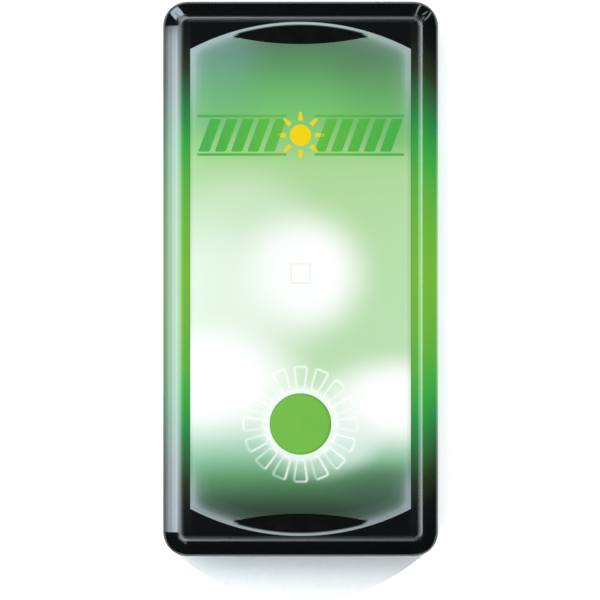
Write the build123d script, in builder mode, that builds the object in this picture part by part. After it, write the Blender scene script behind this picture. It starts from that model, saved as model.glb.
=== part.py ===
"""Adhesive marker light: a palm-sized, sealed flashing light that sticks to a flat surface.

The light lies on its back. +X is its width, +Y its length with the button near the -Y end, and +Z
points out of its face. The origin is the centre of the back of the release liner. Millimetres.
"""

import os
from math import atan, degrees, sqrt

from build123d import *

# ---------------------------------------------------------------- driving dimensions: the case
body_width = 25.4
body_length = 51.2
corner_radius = 2.3
least_corner_radius = 0.2
wall = 1.1
floor_thickness = 0.8
back_edge_radius = 0.5
flank_inset = 1.45  # how far the bevelled flank runs in from the side
flank_drop = 0.82  # and how far it runs down from the ridge
flank_shoulder_radius = 0.5
ridge_width = 0.4
ridge_outer_radius = 0.9
ridge_inner_radius = 0.1
land_drop = 0.15  # the land inside the ridge lies this much lower
frame_thickness = 0.5
slide_clearance = 0.05  # side gap of pieces that drop into each other

# ---------------------------------------------------------------- driving dimensions: the window
window_side_margin = 2.55  # side of the case to the window
window_end_margin = 1.95  # end of the case to the top of the window's arc
window_arc_rise = 2.5
lens_flange_thickness = 0.5
lens_flange_margin = 0.85  # how far the flange runs under the frame at the sides
lens_flange_end_margin = 0.45
lens_stand = 0.1  # the lens edge stands this much above the ridge
lens_crown = 0.2  # and its middle line this much above its edge
lens_rim_chamfer = 0.3
mask_rim = 0.4  # width of clear lens outside each end mask
mask_half_width = 6.4
mask_inner_drop = 2.1  # window arc's top to the mask's inner edge
mask_thickness = 0.3
mask_recess = 0.12

# ---------------------------------------------------------------- driving dimensions: the button
button_radius = 2.76
button_travel = 0.25
button_clearance = 0.08
button_edge_radius = 0.2
button_proud = 0.28  # above the top of the lens
button_flange_width = 0.8
button_flange_thickness = 0.35
button_flange_gap = 0.03
button_end_distance = 10.3  # window arc's end to the button's axis
collar_width = 0.3
collar_height = 0.14
collar_chamfer = 0.08
fin_count = 16
fin_gap = 0.11  # collar to the fins
fin_length = 2.05
fin_outer_width = 1.32
fin_inner_width = 0.8
fin_corner_radius = 0.2
fin_height = 0.22
fin_edge_radius = 0.15
boot_web = 0.35
boot_base_height = 0.35
boot_base_width = 0.6
boot_top_width = 0.4
boot_flange_lap = 0.1  # edge of the button's flange to the boot's top
boot_lean = 0.5  # how far the web leans in

# ---------------------------------------------------------------- driving dimensions: back and seal
liner_thickness = 0.12
liner_inset = 0.5
liner_tab_length = 4.5  # beyond the case
liner_corner_radius = 2.0
tab_corner_radius = 1.5
pad_thickness = 0.8
pad_inset = 0.7
pad_corner_radius = 1.8
tongue_width = 0.5
tongue_height = 0.5
seal_thickness = 0.25
parting_height = 1.8  # housing floor to the joint between housing and frame
parting_chamfer = 0.08  # on both sides of that joint

# ---------------------------------------------------------------- driving dimensions: the cells
cell_thickness = 1.6
cell_side_room = 1.6  # cell to the case's inner wall
cell_end_room = 1.2  # least room beyond the cells, lengthwise
cell_gap = 0.9
can_wall = 0.25
can_edge_radius = 0.15
grommet_recess = 0.05
separator_gap = 0.05
crimp_lip = 0.3
crimp_thickness = 0.2
cap_inset = 1.2
cell_fit = 0.02
rib_thickness = 0.5
rib_height = 1.0
rib_clearance = 0.15
link_width = 4.0
link_thickness = 0.15
link_channel_depth = 0.1
link_reach = 12.0  # under each cell
link_corner_radius = 1.0
contact_width = 2.4
contact_thickness = 0.12
contact_base = 2.6
contact_run = 3.6
contact_tip = 0.9
contact_gap = 0.5
insulator_thickness = 0.08

# ---------------------------------------------------------------- driving dimensions: the board
board_thickness = 0.6
board_clearance = 0.5
board_corner_radius = 0.8
post_radius = 1.0
post_edge_distance = 1.9
peg_radius = 0.45
peg_head_radius = 0.75
peg_head_height = 0.2
light_gap = 1.0  # board to lens
tray_plate = 0.35
tray_wall = 0.6
tray_headroom = 0.05
led_y = 0.4
led_length = 3.5
led_width = 2.8
led_height = 0.7
led_pad_thickness = 0.12
led_cup_radius_top = 1.2
led_cup_radius_bottom = 0.9
led_die_size = 0.5
led_die_height = 0.15
switch_size = 4.5
switch_corner_radius = 0.3
switch_body_height = 0.65
switch_floor = 0.15
switch_cavity_radius = 1.75
switch_cover_thickness = 0.08
switch_stem_radius = 0.85
switch_stem_clearance = 0.08
switch_flange_radius = 1.3
switch_dome_radius = 1.6
switch_dome_height = 0.3
switch_dome_thickness = 0.07
switch_terminal_reach = 0.3
switch_terminal_width = 0.7
switch_terminal_thickness = 0.12
chip_length = 2.9
chip_width = 1.6
chip_height = 1.0
chip_lead_span = 2.6
chip_lead_width = 0.35
chip_lead_pitch = 0.95
chip_lead_bend = 0.15
chip_lead_thickness = 0.12
chip_standoff = 0.1
chip_chamfer = 0.1
passive_length = 1.6
passive_width = 0.8
passive_height = 0.45
capacitor_height = 0.8
passive_end = 0.3
passive_pitch = 1.4
resistor_count = 3
parts_edge_distance = 0.5  # small parts to the board's side

# ---------------------------------------------------------------- levels, from the back upwards
z_back = liner_thickness + pad_thickness
z_floor = z_back + floor_thickness
z_cell = z_floor + link_thickness - link_channel_depth
z_cell_top = z_cell + cell_thickness
z_board = z_cell_top + contact_gap
z_board_top = z_board + board_thickness
z_lens = z_board_top + light_gap
z_flange = z_lens + lens_flange_thickness
z_ridge = z_flange + frame_thickness
z_land = z_ridge - land_drop
z_lens_edge = z_ridge + lens_stand
z_lens_top = z_lens_edge + lens_crown
z_button_top = z_lens_top + button_proud
z_parting = z_floor + parting_height
z_tongue = z_parting + tongue_height
z_mask = z_lens_edge - mask_recess - mask_thickness
z_switch_cover = z_board_top + switch_body_height
z_plunger_top = z_switch_cover + switch_cover_thickness + button_travel + slide_clearance

# ---------------------------------------------------------------- plan sizes that follow
inner_width = body_width - 2 * wall
inner_length = body_length - 2 * wall
window_half_width = body_width / 2 - window_side_margin
window_apex = body_length / 2 - window_end_margin
window_arc_radius = (window_half_width**2 + window_arc_rise**2) / (2 * window_arc_rise)
window_arc_centre = window_apex - window_arc_radius
flange_half_width = window_half_width + lens_flange_margin
flange_half_length = window_apex + lens_flange_end_margin
flange_corner_radius = 0.8
button_y = -(window_apex - button_end_distance)
hole_radius = button_radius + button_clearance
fin_middle_radius = hole_radius + collar_width + fin_gap + fin_length / 2
flange_radius = button_radius + button_flange_width
z_button_flange = z_plunger_top + button_flange_thickness
cell_radius = min(
    inner_width / 2 - cell_side_room,
    (inner_length / 2 - cell_gap / 2 - cell_end_room) / 2,
)
cell_y = cell_radius + cell_gap / 2
board_width = inner_width - 2 * board_clearance
board_length = inner_length - 2 * board_clearance
post_x = board_width / 2 - post_edge_distance
post_y = board_length / 2 - post_edge_distance
boot_top_inner = flange_radius - boot_flange_lap - boot_top_width
boot_base_inner = boot_top_inner + boot_lean
boot_base_outer = boot_base_inner + boot_base_width
small_parts_x = board_width / 2 - parts_edge_distance - chip_lead_span / 2

UP = (Align.CENTER, Align.CENTER, Align.MIN)
DOWN = (Align.CENTER, Align.CENTER, Align.MAX)
CORNERS = [(x, y) for x in (-post_x, post_x) for y in (-post_y, post_y)]


def write_piece(piece, name):
    """Labels a finished piece and writes it as one STEP file."""
    piece.part.label = name
    export_step(piece.part, f"parts/{name}.step")


def case_outline(inset, mode=Mode.ADD):
    """The rounded rectangle of the case, moved in by inset."""
    radius = max(corner_radius - inset, least_corner_radius)
    RectangleRounded(body_width - 2 * inset, body_length - 2 * inset, radius, mode=mode)


def window_outline(inset):
    """The window: straight sides, and ends that are arcs about one centre whatever the inset."""
    half = window_half_width - inset
    apex = window_apex - inset
    corner = window_arc_centre + sqrt((window_arc_radius - inset) ** 2 - half**2)
    with BuildLine() as outline:
        Line((-half, -corner), (-half, corner))
        ThreePointArc((-half, corner), (0, apex), (half, corner))
        Line((half, corner), (half, -corner))
        ThreePointArc((half, -corner), (0, -apex), (-half, -corner))
    make_face(outline.line)


def mask_outline(side):
    """The pointed oval at one end of the window. side is 1 for the +Y end and -1 for the other."""
    tip = window_arc_centre + sqrt((window_arc_radius - mask_rim) ** 2 - mask_half_width**2)
    with BuildLine() as outline:
        ThreePointArc(
            (-mask_half_width, side * tip),
            (0, side * (window_apex - mask_rim)),
            (mask_half_width, side * tip),
        )
        ThreePointArc(
            (mask_half_width, side * tip),
            (0, side * (window_apex - mask_inner_drop)),
            (-mask_half_width, side * tip),
        )
    make_face(outline.line)


def crown_profile(lift):
    """Section of the crowned lens across its width, its top raised by lift."""
    half = flange_half_width + 1
    edge = z_lens_edge + lift
    fall = lens_crown * (half / window_half_width) ** 2 - lens_crown
    with BuildLine() as outline:
        Polyline((-half, edge - fall), (-half, z_lens - 1), (half, z_lens - 1), (half, edge - fall))
        ThreePointArc((half, edge - fall), (0, z_lens_top + lift), (-half, edge - fall))
    make_face(outline.line)


os.makedirs("parts", exist_ok=True)

# ================================================================ back of the light
# Release liner: siliconised paper over the adhesive, with a half-moon pull tab past the -Y end.
with BuildPart() as release_liner:
    liner_half = body_width / 2 - liner_inset
    liner_top = body_length / 2 - liner_inset
    tab_tip = -body_length / 2 - liner_tab_length
    tab_root = -body_length / 2 + liner_inset
    with BuildSketch():
        with BuildLine():
            Line((-liner_half, tab_root), (-liner_half, liner_top))
            Line((-liner_half, liner_top), (liner_half, liner_top))
            Line((liner_half, liner_top), (liner_half, tab_root))
            ThreePointArc((liner_half, tab_root), (0, tab_tip), (-liner_half, tab_root))
        make_face()
        fillet(vertices().group_by(Axis.Y)[-1], liner_corner_radius)
        fillet(vertices().group_by(Axis.Y)[0], tab_corner_radius)
    extrude(amount=liner_thickness)
write_piece(release_liner, "release_liner")

# Adhesive pad: double-sided foam tape between the liner and the housing.
with BuildPart() as foam_pad:
    with BuildSketch(Plane.XY.offset(liner_thickness)):
        RectangleRounded(body_width - 2 * pad_inset, body_length - 2 * pad_inset, pad_corner_radius)
    extrude(amount=pad_thickness)
write_piece(foam_pad, "foam_pad")

# ================================================================ case
# Rear housing: a tray with cell wells, board posts, and a tongue round its rim.
with BuildPart() as rear_housing:
    with BuildSketch(Plane.XY.offset(z_back)):
        case_outline(0)
    extrude(amount=z_parting - z_back)
    fillet(faces().sort_by(Axis.Z)[0].edges(), back_edge_radius)
    chamfer(faces().sort_by(Axis.Z)[-1].edges(), parting_chamfer)
    with BuildSketch(Plane.XY.offset(z_floor)):
        case_outline(wall)
    extrude(amount=z_parting - z_floor, mode=Mode.SUBTRACT)
    with BuildSketch(Plane.XY.offset(z_parting)):
        case_outline(wall - tongue_width)
        case_outline(wall, mode=Mode.SUBTRACT)
    extrude(amount=tongue_height)
    with BuildSketch(Plane.XY.offset(z_floor)):
        with Locations((0, -cell_y), (0, cell_y)):
            Circle(cell_radius + rib_clearance + rib_thickness)
        with Locations((0, -cell_y), (0, cell_y)):
            Circle(cell_radius + rib_clearance, mode=Mode.SUBTRACT)
        Rectangle(link_width + 2 * slide_clearance, body_length, mode=Mode.SUBTRACT)
    extrude(amount=rib_height)
    with Locations(*[(x, y, z_floor) for x, y in CORNERS]):
        Cylinder(post_radius, z_board - z_floor, align=UP)
        Cylinder(peg_radius, z_board_top - z_floor, align=UP)
    with Locations(*[(x, y, z_board_top) for x, y in CORNERS]):
        Cylinder(peg_head_radius, peg_head_height, align=UP)
    with Locations((0, 0, z_floor)):
        Box(
            link_width + 2 * slide_clearance,
            2 * (cell_gap / 2 + link_reach + slide_clearance),
            link_channel_depth,
            align=DOWN,
            mode=Mode.SUBTRACT,
        )
write_piece(rear_housing, "rear_housing")

# Front bezel: the frame with its bevelled flank, raised ridge, window, lens pocket and seal rebate.
with BuildPart() as front_bezel:
    with BuildSketch(Plane.XY.offset(z_parting)):
        case_outline(0)
    extrude(amount=z_ridge - z_parting)
    chamfer(faces().sort_by(Axis.Z)[0].edges(), parting_chamfer)
    top_face = faces().sort_by(Axis.Z)[-1]
    chamfer(top_face.edges(), length=flank_inset, length2=flank_drop, reference=top_face)
    flank_foot = edges().filter_by(lambda e: abs(e.center().Z - (z_ridge - flank_drop)) < 0.01)
    fillet(flank_foot, flank_shoulder_radius)
    fillet(faces().sort_by(Axis.Z)[-1].edges(), ridge_outer_radius)
    with BuildSketch(Plane.XY.offset(z_land)):
        case_outline(flank_inset + ridge_width)
    extrude(amount=land_drop, mode=Mode.SUBTRACT)
    ridge_inner_edges = faces().sort_by(Axis.Z)[-1].inner_wires()[0].edges()
    fillet(ridge_inner_edges, ridge_inner_radius)
    with BuildSketch(Plane.XY.offset(z_flange)):
        window_outline(0)
    extrude(amount=frame_thickness, mode=Mode.SUBTRACT)
    with BuildSketch(Plane.XY.offset(z_lens)):
        RectangleRounded(
            2 * (flange_half_width + slide_clearance),
            2 * (flange_half_length + slide_clearance),
            flange_corner_radius,
        )
    extrude(amount=lens_flange_thickness, mode=Mode.SUBTRACT)
    with BuildSketch(Plane.XY.offset(z_parting)):
        case_outline(wall)
    extrude(amount=z_lens - z_parting, mode=Mode.SUBTRACT)
    with BuildSketch(Plane.XY.offset(z_parting)):
        case_outline(wall - tongue_width - slide_clearance)
    extrude(amount=tongue_height + seal_thickness, mode=Mode.SUBTRACT)
write_piece(front_bezel, "front_bezel")

# Perimeter seal: a flat silicone ring squeezed between the tongue and the bezel's rebate.
with BuildPart() as perimeter_seal:
    with BuildSketch(Plane.XY.offset(z_tongue)):
        case_outline(wall - tongue_width)
        case_outline(wall, mode=Mode.SUBTRACT)
    extrude(amount=seal_thickness)
write_piece(perimeter_seal, "perimeter_seal")

# ================================================================ front of the light
# Fins: a ring of radial pads moulded on the lens round the button, their tops following the crown.
with BuildPart() as fin_ring:
    fin_angle = degrees(atan(2 * fin_length / (fin_outer_width - fin_inner_width)))
    with BuildSketch(Plane.XY.offset(z_lens_edge)):
        with Locations((0, button_y)):
            with PolarLocations(fin_middle_radius, fin_count, start_angle=90):
                Trapezoid(fin_outer_width, fin_length, fin_angle, rotation=90)
        fillet(vertices(), fin_corner_radius)
    extrude(amount=lens_crown + fin_height)
    with BuildSketch(Plane.XZ):
        crown_profile(fin_height)
    extrude(amount=body_length, both=True, mode=Mode.INTERSECT)
    fin_tops = faces().filter_by(lambda f: f.normal_at().Z > 0.9)
    fillet(fin_tops.edges(), fin_edge_radius)

# Diffuser lens: a crowned pane standing in the window on a flange that the bezel traps.
with BuildPart() as diffuser_lens:
    with BuildSketch(Plane.XY.offset(z_lens)):
        window_outline(slide_clearance)
    extrude(amount=z_lens_top - z_lens)
    with BuildSketch(Plane.XZ):
        crown_profile(0)
    extrude(amount=body_length, both=True, mode=Mode.INTERSECT)
    chamfer(faces().sort_by(Axis.Z)[-1].edges(), lens_rim_chamfer)
    with BuildSketch(Plane.XY.offset(z_lens)):
        RectangleRounded(2 * flange_half_width, 2 * flange_half_length, flange_corner_radius)
    extrude(amount=lens_flange_thickness)
    with BuildSketch(Plane.XY.offset(z_mask)):
        mask_outline(1)
        mask_outline(-1)
    extrude(amount=z_lens_top - z_mask, mode=Mode.SUBTRACT)
    with Locations((0, button_y, z_lens_edge)):
        Cylinder(hole_radius + collar_width, z_lens_top + collar_height - z_lens_edge, align=UP)
    add(fin_ring.part)
    with Locations((0, button_y, z_lens)):
        Cylinder(hole_radius, body_width, align=UP, mode=Mode.SUBTRACT)
        Cylinder(
            flange_radius + 4 * slide_clearance,
            z_button_flange + button_flange_gap - z_lens,
            align=UP,
            mode=Mode.SUBTRACT,
        )
    collar_top = faces().filter_by(Plane.XY).sort_by(Axis.Z)[-1]
    chamfer(collar_top.edges(), collar_chamfer)
write_piece(diffuser_lens, "diffuser_lens")

# End masks: black pointed ovals set in the lens, which hide the ends of the board.
for side, name in ((1, "upper_end_mask"), (-1, "lower_end_mask")):
    with BuildPart() as end_mask:
        with BuildSketch(Plane.XY.offset(z_mask)):
            mask_outline(side)
            offset(amount=-slide_clearance, kind=Kind.INTERSECTION)
        extrude(amount=mask_thickness)
    write_piece(end_mask, name)

# Push button: a round cap whose flange is trapped under the lens.
with BuildPart() as button_cap:
    with Locations((0, button_y, z_plunger_top)):
        Cylinder(flange_radius, button_flange_thickness, align=UP)
        Cylinder(button_radius, z_button_top - z_plunger_top, align=UP)
    fillet(faces().sort_by(Axis.Z)[-1].edges(), button_edge_radius)
write_piece(button_cap, "button_cap")

# Button boot: a silicone cone on the board that returns the button and keeps water out.
with BuildPart() as button_boot:
    boot_height = z_plunger_top - z_board_top
    boot_plane = Plane(origin=(0, button_y, z_board_top), x_dir=(1, 0, 0), z_dir=(0, -1, 0))
    with BuildSketch(boot_plane):
        with BuildLine():
            Polyline(
                (boot_base_inner, 0),
                (boot_base_outer, 0),
                (boot_base_outer, boot_base_height / 2),
                (boot_base_inner + boot_web, boot_base_height),
                (boot_top_inner + boot_top_width, boot_height),
                (boot_top_inner, boot_height),
                (boot_base_inner, boot_base_height),
                close=True,
            )
        make_face()
    revolve(axis=Axis((0, button_y, 0), (0, 0, 1)))
write_piece(button_boot, "button_boot")

# ================================================================ circuit board and what it carries
with BuildPart() as circuit_board:
    with BuildSketch(Plane.XY.offset(z_board)):
        RectangleRounded(board_width, board_length, board_corner_radius)
        with Locations(*CORNERS):
            Circle(peg_radius + slide_clearance, mode=Mode.SUBTRACT)
    extrude(amount=board_thickness)
write_piece(circuit_board, "circuit_board")

# Reflector tray: a white plate with a rim, open round the LED, the button boot and the pegs.
with BuildPart() as reflector_tray:
    with BuildSketch(Plane.XY.offset(z_board_top)):
        RectangleRounded(board_width, board_length, board_corner_radius)
    extrude(amount=light_gap - tray_headroom)
    with BuildSketch(Plane.XY.offset(z_board_top + tray_plate)):
        RectangleRounded(board_width - 2 * tray_wall, board_length - 2 * tray_wall, least_corner_radius)
    extrude(amount=light_gap, mode=Mode.SUBTRACT)
    with BuildSketch(Plane.XY.offset(z_board_top)):
        with Locations((0, led_y)):
            Rectangle(led_length + 4 * slide_clearance, led_width + 4 * slide_clearance)
        with Locations((0, button_y)):
            Circle(boot_base_outer + 4 * slide_clearance)
        with Locations(*CORNERS):
            Circle(peg_head_radius + 2 * slide_clearance)
    extrude(amount=tray_plate, mode=Mode.SUBTRACT)
write_piece(reflector_tray, "reflector_tray")

# LED: two metal pads, a die on one of them, a white cup and the clear filling.
with BuildPart() as led_pads:
    led_pad_length = led_length / 2 - 2 * slide_clearance
    with Locations((-led_length / 4, led_y, z_board_top), (led_length / 4, led_y, z_board_top)):
        Box(led_pad_length, led_width - led_pad_thickness, led_pad_thickness, align=UP)
write_piece(led_pads, "led_pads")

with BuildPart() as led_die:
    with Locations((-led_die_size, led_y, z_board_top + led_pad_thickness)):
        Box(led_die_size, led_die_size, led_die_height, align=UP)
write_piece(led_die, "led_die")

with BuildPart() as led_cup:
    led_cup_height = led_height - led_pad_thickness
    with Locations((0, led_y, z_board_top + led_pad_thickness)):
        Box(led_length, led_width, led_cup_height, align=UP)
        Cone(
            led_cup_radius_bottom,
            led_cup_radius_top,
            led_cup_height,
            align=UP,
            mode=Mode.SUBTRACT,
        )
write_piece(led_cup, "led_cup")

with BuildPart() as led_filling:
    with Locations((0, led_y, z_board_top + led_pad_thickness)):
        Cone(led_cup_radius_bottom - cell_fit, led_cup_radius_top - cell_fit, led_cup_height, align=UP)
    add(led_die.part, mode=Mode.SUBTRACT)
write_piece(led_filling, "led_filling")

# Tactile switch under the button: base, snap dome, plunger, cover plate and terminals.
z_dome = z_board_top + switch_floor
z_plunger = z_dome + switch_dome_height

with BuildPart() as switch_base:
    with BuildSketch(Plane.XY.offset(z_board_top)):
        with Locations((0, button_y)):
            RectangleRounded(switch_size, switch_size, switch_corner_radius)
    extrude(amount=switch_body_height)
    with Locations((0, button_y, z_dome)):
        Cylinder(switch_cavity_radius, switch_body_height, align=UP, mode=Mode.SUBTRACT)
write_piece(switch_base, "switch_base")

with BuildPart() as switch_dome:
    dome_sphere = (switch_dome_radius**2 + switch_dome_height**2) / (2 * switch_dome_height)
    with Locations((0, button_y, z_plunger - dome_sphere)):
        Sphere(dome_sphere)
        Sphere(dome_sphere - switch_dome_thickness, mode=Mode.SUBTRACT)
    with Locations((0, button_y, z_dome)):
        Cylinder(switch_cavity_radius, switch_dome_height, align=UP, mode=Mode.INTERSECT)
write_piece(switch_dome, "switch_dome")

with BuildPart() as switch_plunger:
    with Locations((0, button_y, z_plunger)):
        Cylinder(switch_flange_radius, z_switch_cover - cell_fit - z_plunger, align=UP)
        Cylinder(switch_stem_radius, z_plunger_top - z_plunger, align=UP)
write_piece(switch_plunger, "switch_plunger")

with BuildPart() as switch_cover:
    with BuildSketch(Plane.XY.offset(z_switch_cover)):
        with Locations((0, button_y)):
            RectangleRounded(switch_size, switch_size, switch_corner_radius)
            Circle(switch_stem_radius + switch_stem_clearance, mode=Mode.SUBTRACT)
    extrude(amount=switch_cover_thickness)
    clip_x = (switch_size + switch_cover_thickness) / 2
    with Locations(
        (-clip_x, button_y, z_switch_cover + switch_cover_thickness),
        (clip_x, button_y, z_switch_cover + switch_cover_thickness),
    ):
        Box(switch_cover_thickness, switch_size / 3, switch_body_height / 2, align=DOWN)
write_piece(switch_cover, "switch_cover")

with BuildPart() as switch_terminals:
    terminal_x = (switch_size + switch_terminal_reach) / 2
    terminal_y = (switch_size - switch_terminal_width) / 2 - switch_corner_radius
    with Locations(
        *[
            (x, button_y + y, z_board_top)
            for x in (-terminal_x, terminal_x)
            for y in (-terminal_y, terminal_y)
        ]
    ):
        Box(switch_terminal_reach, switch_terminal_width, switch_terminal_thickness, align=UP)
write_piece(switch_terminals, "switch_terminals")

# Flasher chip on the underside of the board, in the space between the two cells.
z_chip = z_board - chip_standoff - chip_height
with BuildPart() as flasher_chip:
    with Locations((small_parts_x, 0, z_chip)):
        Box(chip_width, chip_length, chip_height, align=UP)
    chamfer(faces().sort_by(Axis.Z)[0].edges(), chip_chamfer)
write_piece(flasher_chip, "flasher_chip")

with BuildPart() as chip_leads:
    lead_foot = chip_lead_span / 2
    lead_level = -chip_standoff - chip_height / 2
    for y in (-chip_lead_pitch, 0, chip_lead_pitch):
        lead_plane = Plane(origin=(small_parts_x, y, z_board), x_dir=(1, 0, 0), z_dir=(0, -1, 0))
        for side in (-1, 1):
            with BuildSketch(lead_plane):
                with BuildLine():
                    Polyline(
                        (side * chip_width / 2, lead_level),
                        (side * (chip_width / 2 + chip_lead_bend), lead_level),
                        (side * (chip_width / 2 + chip_lead_bend), -chip_lead_thickness / 2),
                        (side * lead_foot, -chip_lead_thickness / 2),
                    )
                trace(line_width=chip_lead_thickness)
            extrude(amount=chip_lead_width / 2, both=True)
write_piece(chip_leads, "chip_leads")

# Chip resistors and one capacitor, in a row across from the flasher chip, with plated ends.
passive_rows = [(i - resistor_count / 2) * passive_pitch for i in range(resistor_count + 1)]
passive_body = passive_length - 2 * passive_end

with BuildPart() as chip_resistors:
    with Locations(*[(-small_parts_x, y, z_board) for y in passive_rows[:-1]]):
        Box(passive_body, passive_width, passive_height, align=DOWN)
write_piece(chip_resistors, "chip_resistors")

with BuildPart() as chip_capacitor:
    with Locations((-small_parts_x, passive_rows[-1], z_board)):
        Box(passive_body, passive_width, capacitor_height, align=DOWN)
write_piece(chip_capacitor, "chip_capacitor")

with BuildPart() as plated_ends:
    for row, y in enumerate(passive_rows):
        end_height = capacitor_height if row == resistor_count else passive_height
        for side in (-1, 1):
            end_x = side * (passive_body + passive_end) / 2 - small_parts_x
            with Locations((end_x, y, z_board)):
                Box(passive_end, passive_width, end_height, align=DOWN)
write_piece(plated_ends, "plated_ends")

# ================================================================ power
# Two lithium coin cells in series, the lower one turned over so that the link strip joins its cap
# to the other's can. Each is a can, a cap, a grommet between them and its two pellets.
upper_place = Location((0, cell_y, z_cell))
lower_place = Location((0, -cell_y, z_cell_top), (180, 0, 0))
for name, place in (("upper_cell", upper_place), ("lower_cell", lower_place)):
    cell_plane = Plane(place)
    cell_axis = Axis(cell_plane.origin, cell_plane.z_dir)
    lip_level = cell_thickness - crimp_thickness
    lip_radius = cell_radius - can_wall - crimp_lip
    cap_radius = cell_radius - cap_inset
    pellet_room = cell_thickness - 2 * can_wall - separator_gap

    with BuildPart(cell_plane) as can:
        Cylinder(cell_radius, cell_thickness, align=UP)
        fillet(edges(), can_edge_radius)
        with Locations((0, 0, can_wall)):
            Cylinder(cell_radius - can_wall, lip_level - can_wall, align=UP, mode=Mode.SUBTRACT)
            Cylinder(lip_radius, cell_thickness, align=UP, mode=Mode.SUBTRACT)
    write_piece(can, f"{name}_can")

    with BuildPart(cell_plane) as grommet:
        with Locations((0, 0, can_wall)):
            Cylinder(cell_radius - can_wall - cell_fit, lip_level - can_wall, align=UP)
            Cylinder(lip_radius - cell_fit, cell_thickness - can_wall - grommet_recess, align=UP)
            Cylinder(cap_radius + cell_fit, cell_thickness, align=UP, mode=Mode.SUBTRACT)
    write_piece(grommet, f"{name}_grommet")

    with BuildPart(cell_plane) as cap:
        with Locations((0, 0, 2 * can_wall)):
            Cylinder(cap_radius, cell_thickness - 2 * can_wall, align=UP)
            fillet(faces().sort_by(cell_axis)[-1].edges(), can_edge_radius)
            Cylinder(cap_radius - can_wall, cell_thickness - 3 * can_wall, align=UP, mode=Mode.SUBTRACT)
    write_piece(cap, f"{name}_cap")

    with BuildPart(cell_plane) as pellets:
        with Locations((0, 0, can_wall), (0, 0, can_wall + pellet_room / 2 + separator_gap)):
            Cylinder(cap_radius - can_wall - cell_fit, pellet_room / 2, align=UP)
    write_piece(pellets, f"{name}_pellets")

# Link strip: joins the undersides of the two cells.
with BuildPart() as cell_link:
    with BuildSketch(Plane.XY.offset(z_floor - link_channel_depth)):
        RectangleRounded(link_width, 2 * (cell_gap / 2 + link_reach), link_corner_radius)
    extrude(amount=link_thickness)
write_piece(cell_link, "cell_link")

# Leaf contacts: strips bent down from the board to press on the top of each cell.
for y, name in ((cell_y, "upper_contact"), (-cell_y, "lower_contact")):
    with BuildPart() as leaf:
        contact_plane = Plane(origin=(0, y, z_board), x_dir=(1, 0, 0), z_dir=(0, -1, 0))
        foot_level = -contact_thickness / 2
        press_level = contact_thickness / 2 + cell_fit - contact_gap
        with BuildSketch(contact_plane):
            with BuildLine():
                FilletPolyline(
                    (-contact_base - contact_run / 2, foot_level),
                    (-contact_run / 2, foot_level),
                    (contact_run / 2, press_level),
                    (contact_run / 2 + contact_tip, press_level + contact_gap / 2),
                    radius=contact_thickness * 2,
                )
            trace(line_width=contact_thickness)
        extrude(amount=contact_width / 2, both=True)
    write_piece(leaf, name)

# Insulating film on the underside of the board, open at the contacts, the posts and the small parts.
with BuildPart() as insulating_film:
    with BuildSketch(Plane.XY.offset(z_board - insulator_thickness)):
        RectangleRounded(board_width, board_length, board_corner_radius)
        with Locations(*CORNERS):
            Circle(post_radius + 2 * slide_clearance, mode=Mode.SUBTRACT)
        with Locations((0, cell_y), (0, -cell_y)):
            Rectangle(
                2 * contact_base + contact_run + 2 * contact_tip,
                contact_width + 4 * slide_clearance,
                mode=Mode.SUBTRACT,
            )
        with Locations((small_parts_x, 0), (-small_parts_x, 0)):
            Rectangle(
                chip_lead_span + 4 * slide_clearance,
                (resistor_count + 2) * passive_pitch,
                mode=Mode.SUBTRACT,
            )
    extrude(amount=insulator_thickness)
write_piece(insulating_film, "insulating_film")
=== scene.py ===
"""The finish, print, adhesive back and studio of a stick-on marker light, as a Blender add-on.

Everything is in metres in the light's own frame: +X is its width, +Y its length away from the push
button, +Z out of its face, and the origin is the centre of the back of its release liner.
"""

import math

import bmesh
import bpy
from bpy.props import FloatProperty, FloatVectorProperty, IntProperty, PointerProperty
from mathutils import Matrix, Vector


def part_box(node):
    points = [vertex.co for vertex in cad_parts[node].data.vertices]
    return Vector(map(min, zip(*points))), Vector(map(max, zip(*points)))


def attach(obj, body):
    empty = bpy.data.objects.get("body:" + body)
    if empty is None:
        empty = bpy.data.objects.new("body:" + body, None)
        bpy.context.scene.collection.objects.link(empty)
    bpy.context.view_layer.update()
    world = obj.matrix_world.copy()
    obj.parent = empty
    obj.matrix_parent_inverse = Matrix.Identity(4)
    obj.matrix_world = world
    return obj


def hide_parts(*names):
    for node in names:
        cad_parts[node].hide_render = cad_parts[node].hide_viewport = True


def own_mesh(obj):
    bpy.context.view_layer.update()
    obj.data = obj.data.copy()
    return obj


bl_info = {
    "name": "Adhesive Marker Light",
    "version": (1, 0, 0),
    "blender": (4, 5, 0),
    "location": "View3D > Sidebar > Marker Light",
    "description": "Finishes a stick-on marker light around its frame and lights it in a studio",
    "category": "Object",
}

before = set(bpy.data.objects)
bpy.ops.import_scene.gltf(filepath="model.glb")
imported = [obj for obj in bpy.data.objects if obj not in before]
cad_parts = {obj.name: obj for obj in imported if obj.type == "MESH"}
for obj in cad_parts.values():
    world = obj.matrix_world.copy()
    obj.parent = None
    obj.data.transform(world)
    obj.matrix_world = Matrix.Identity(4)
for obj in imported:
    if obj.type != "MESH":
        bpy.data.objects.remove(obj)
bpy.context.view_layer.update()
MM = 0.001
BLACK = (0, 0, 0, 1)

# The frame: the width of its bevel, how far its ridge lies inside its outline, where its sides
# start to show the leaking light and show all of it, and the roughness of its two finishes.
BEVEL_WIDTH = 1.3 * MM
RIDGE_INSET = 1.65 * MM
LEAK_STARTS, LEAK_FULL = 9.9 * MM, 10.3 * MM
POLISHED, SATIN = 0.08, 0.24

# How far from the middle line the stripes and the thin rules of the print end.
STRIPES_END, RULES_END = 9.4 * MM, 9.5 * MM

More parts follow.
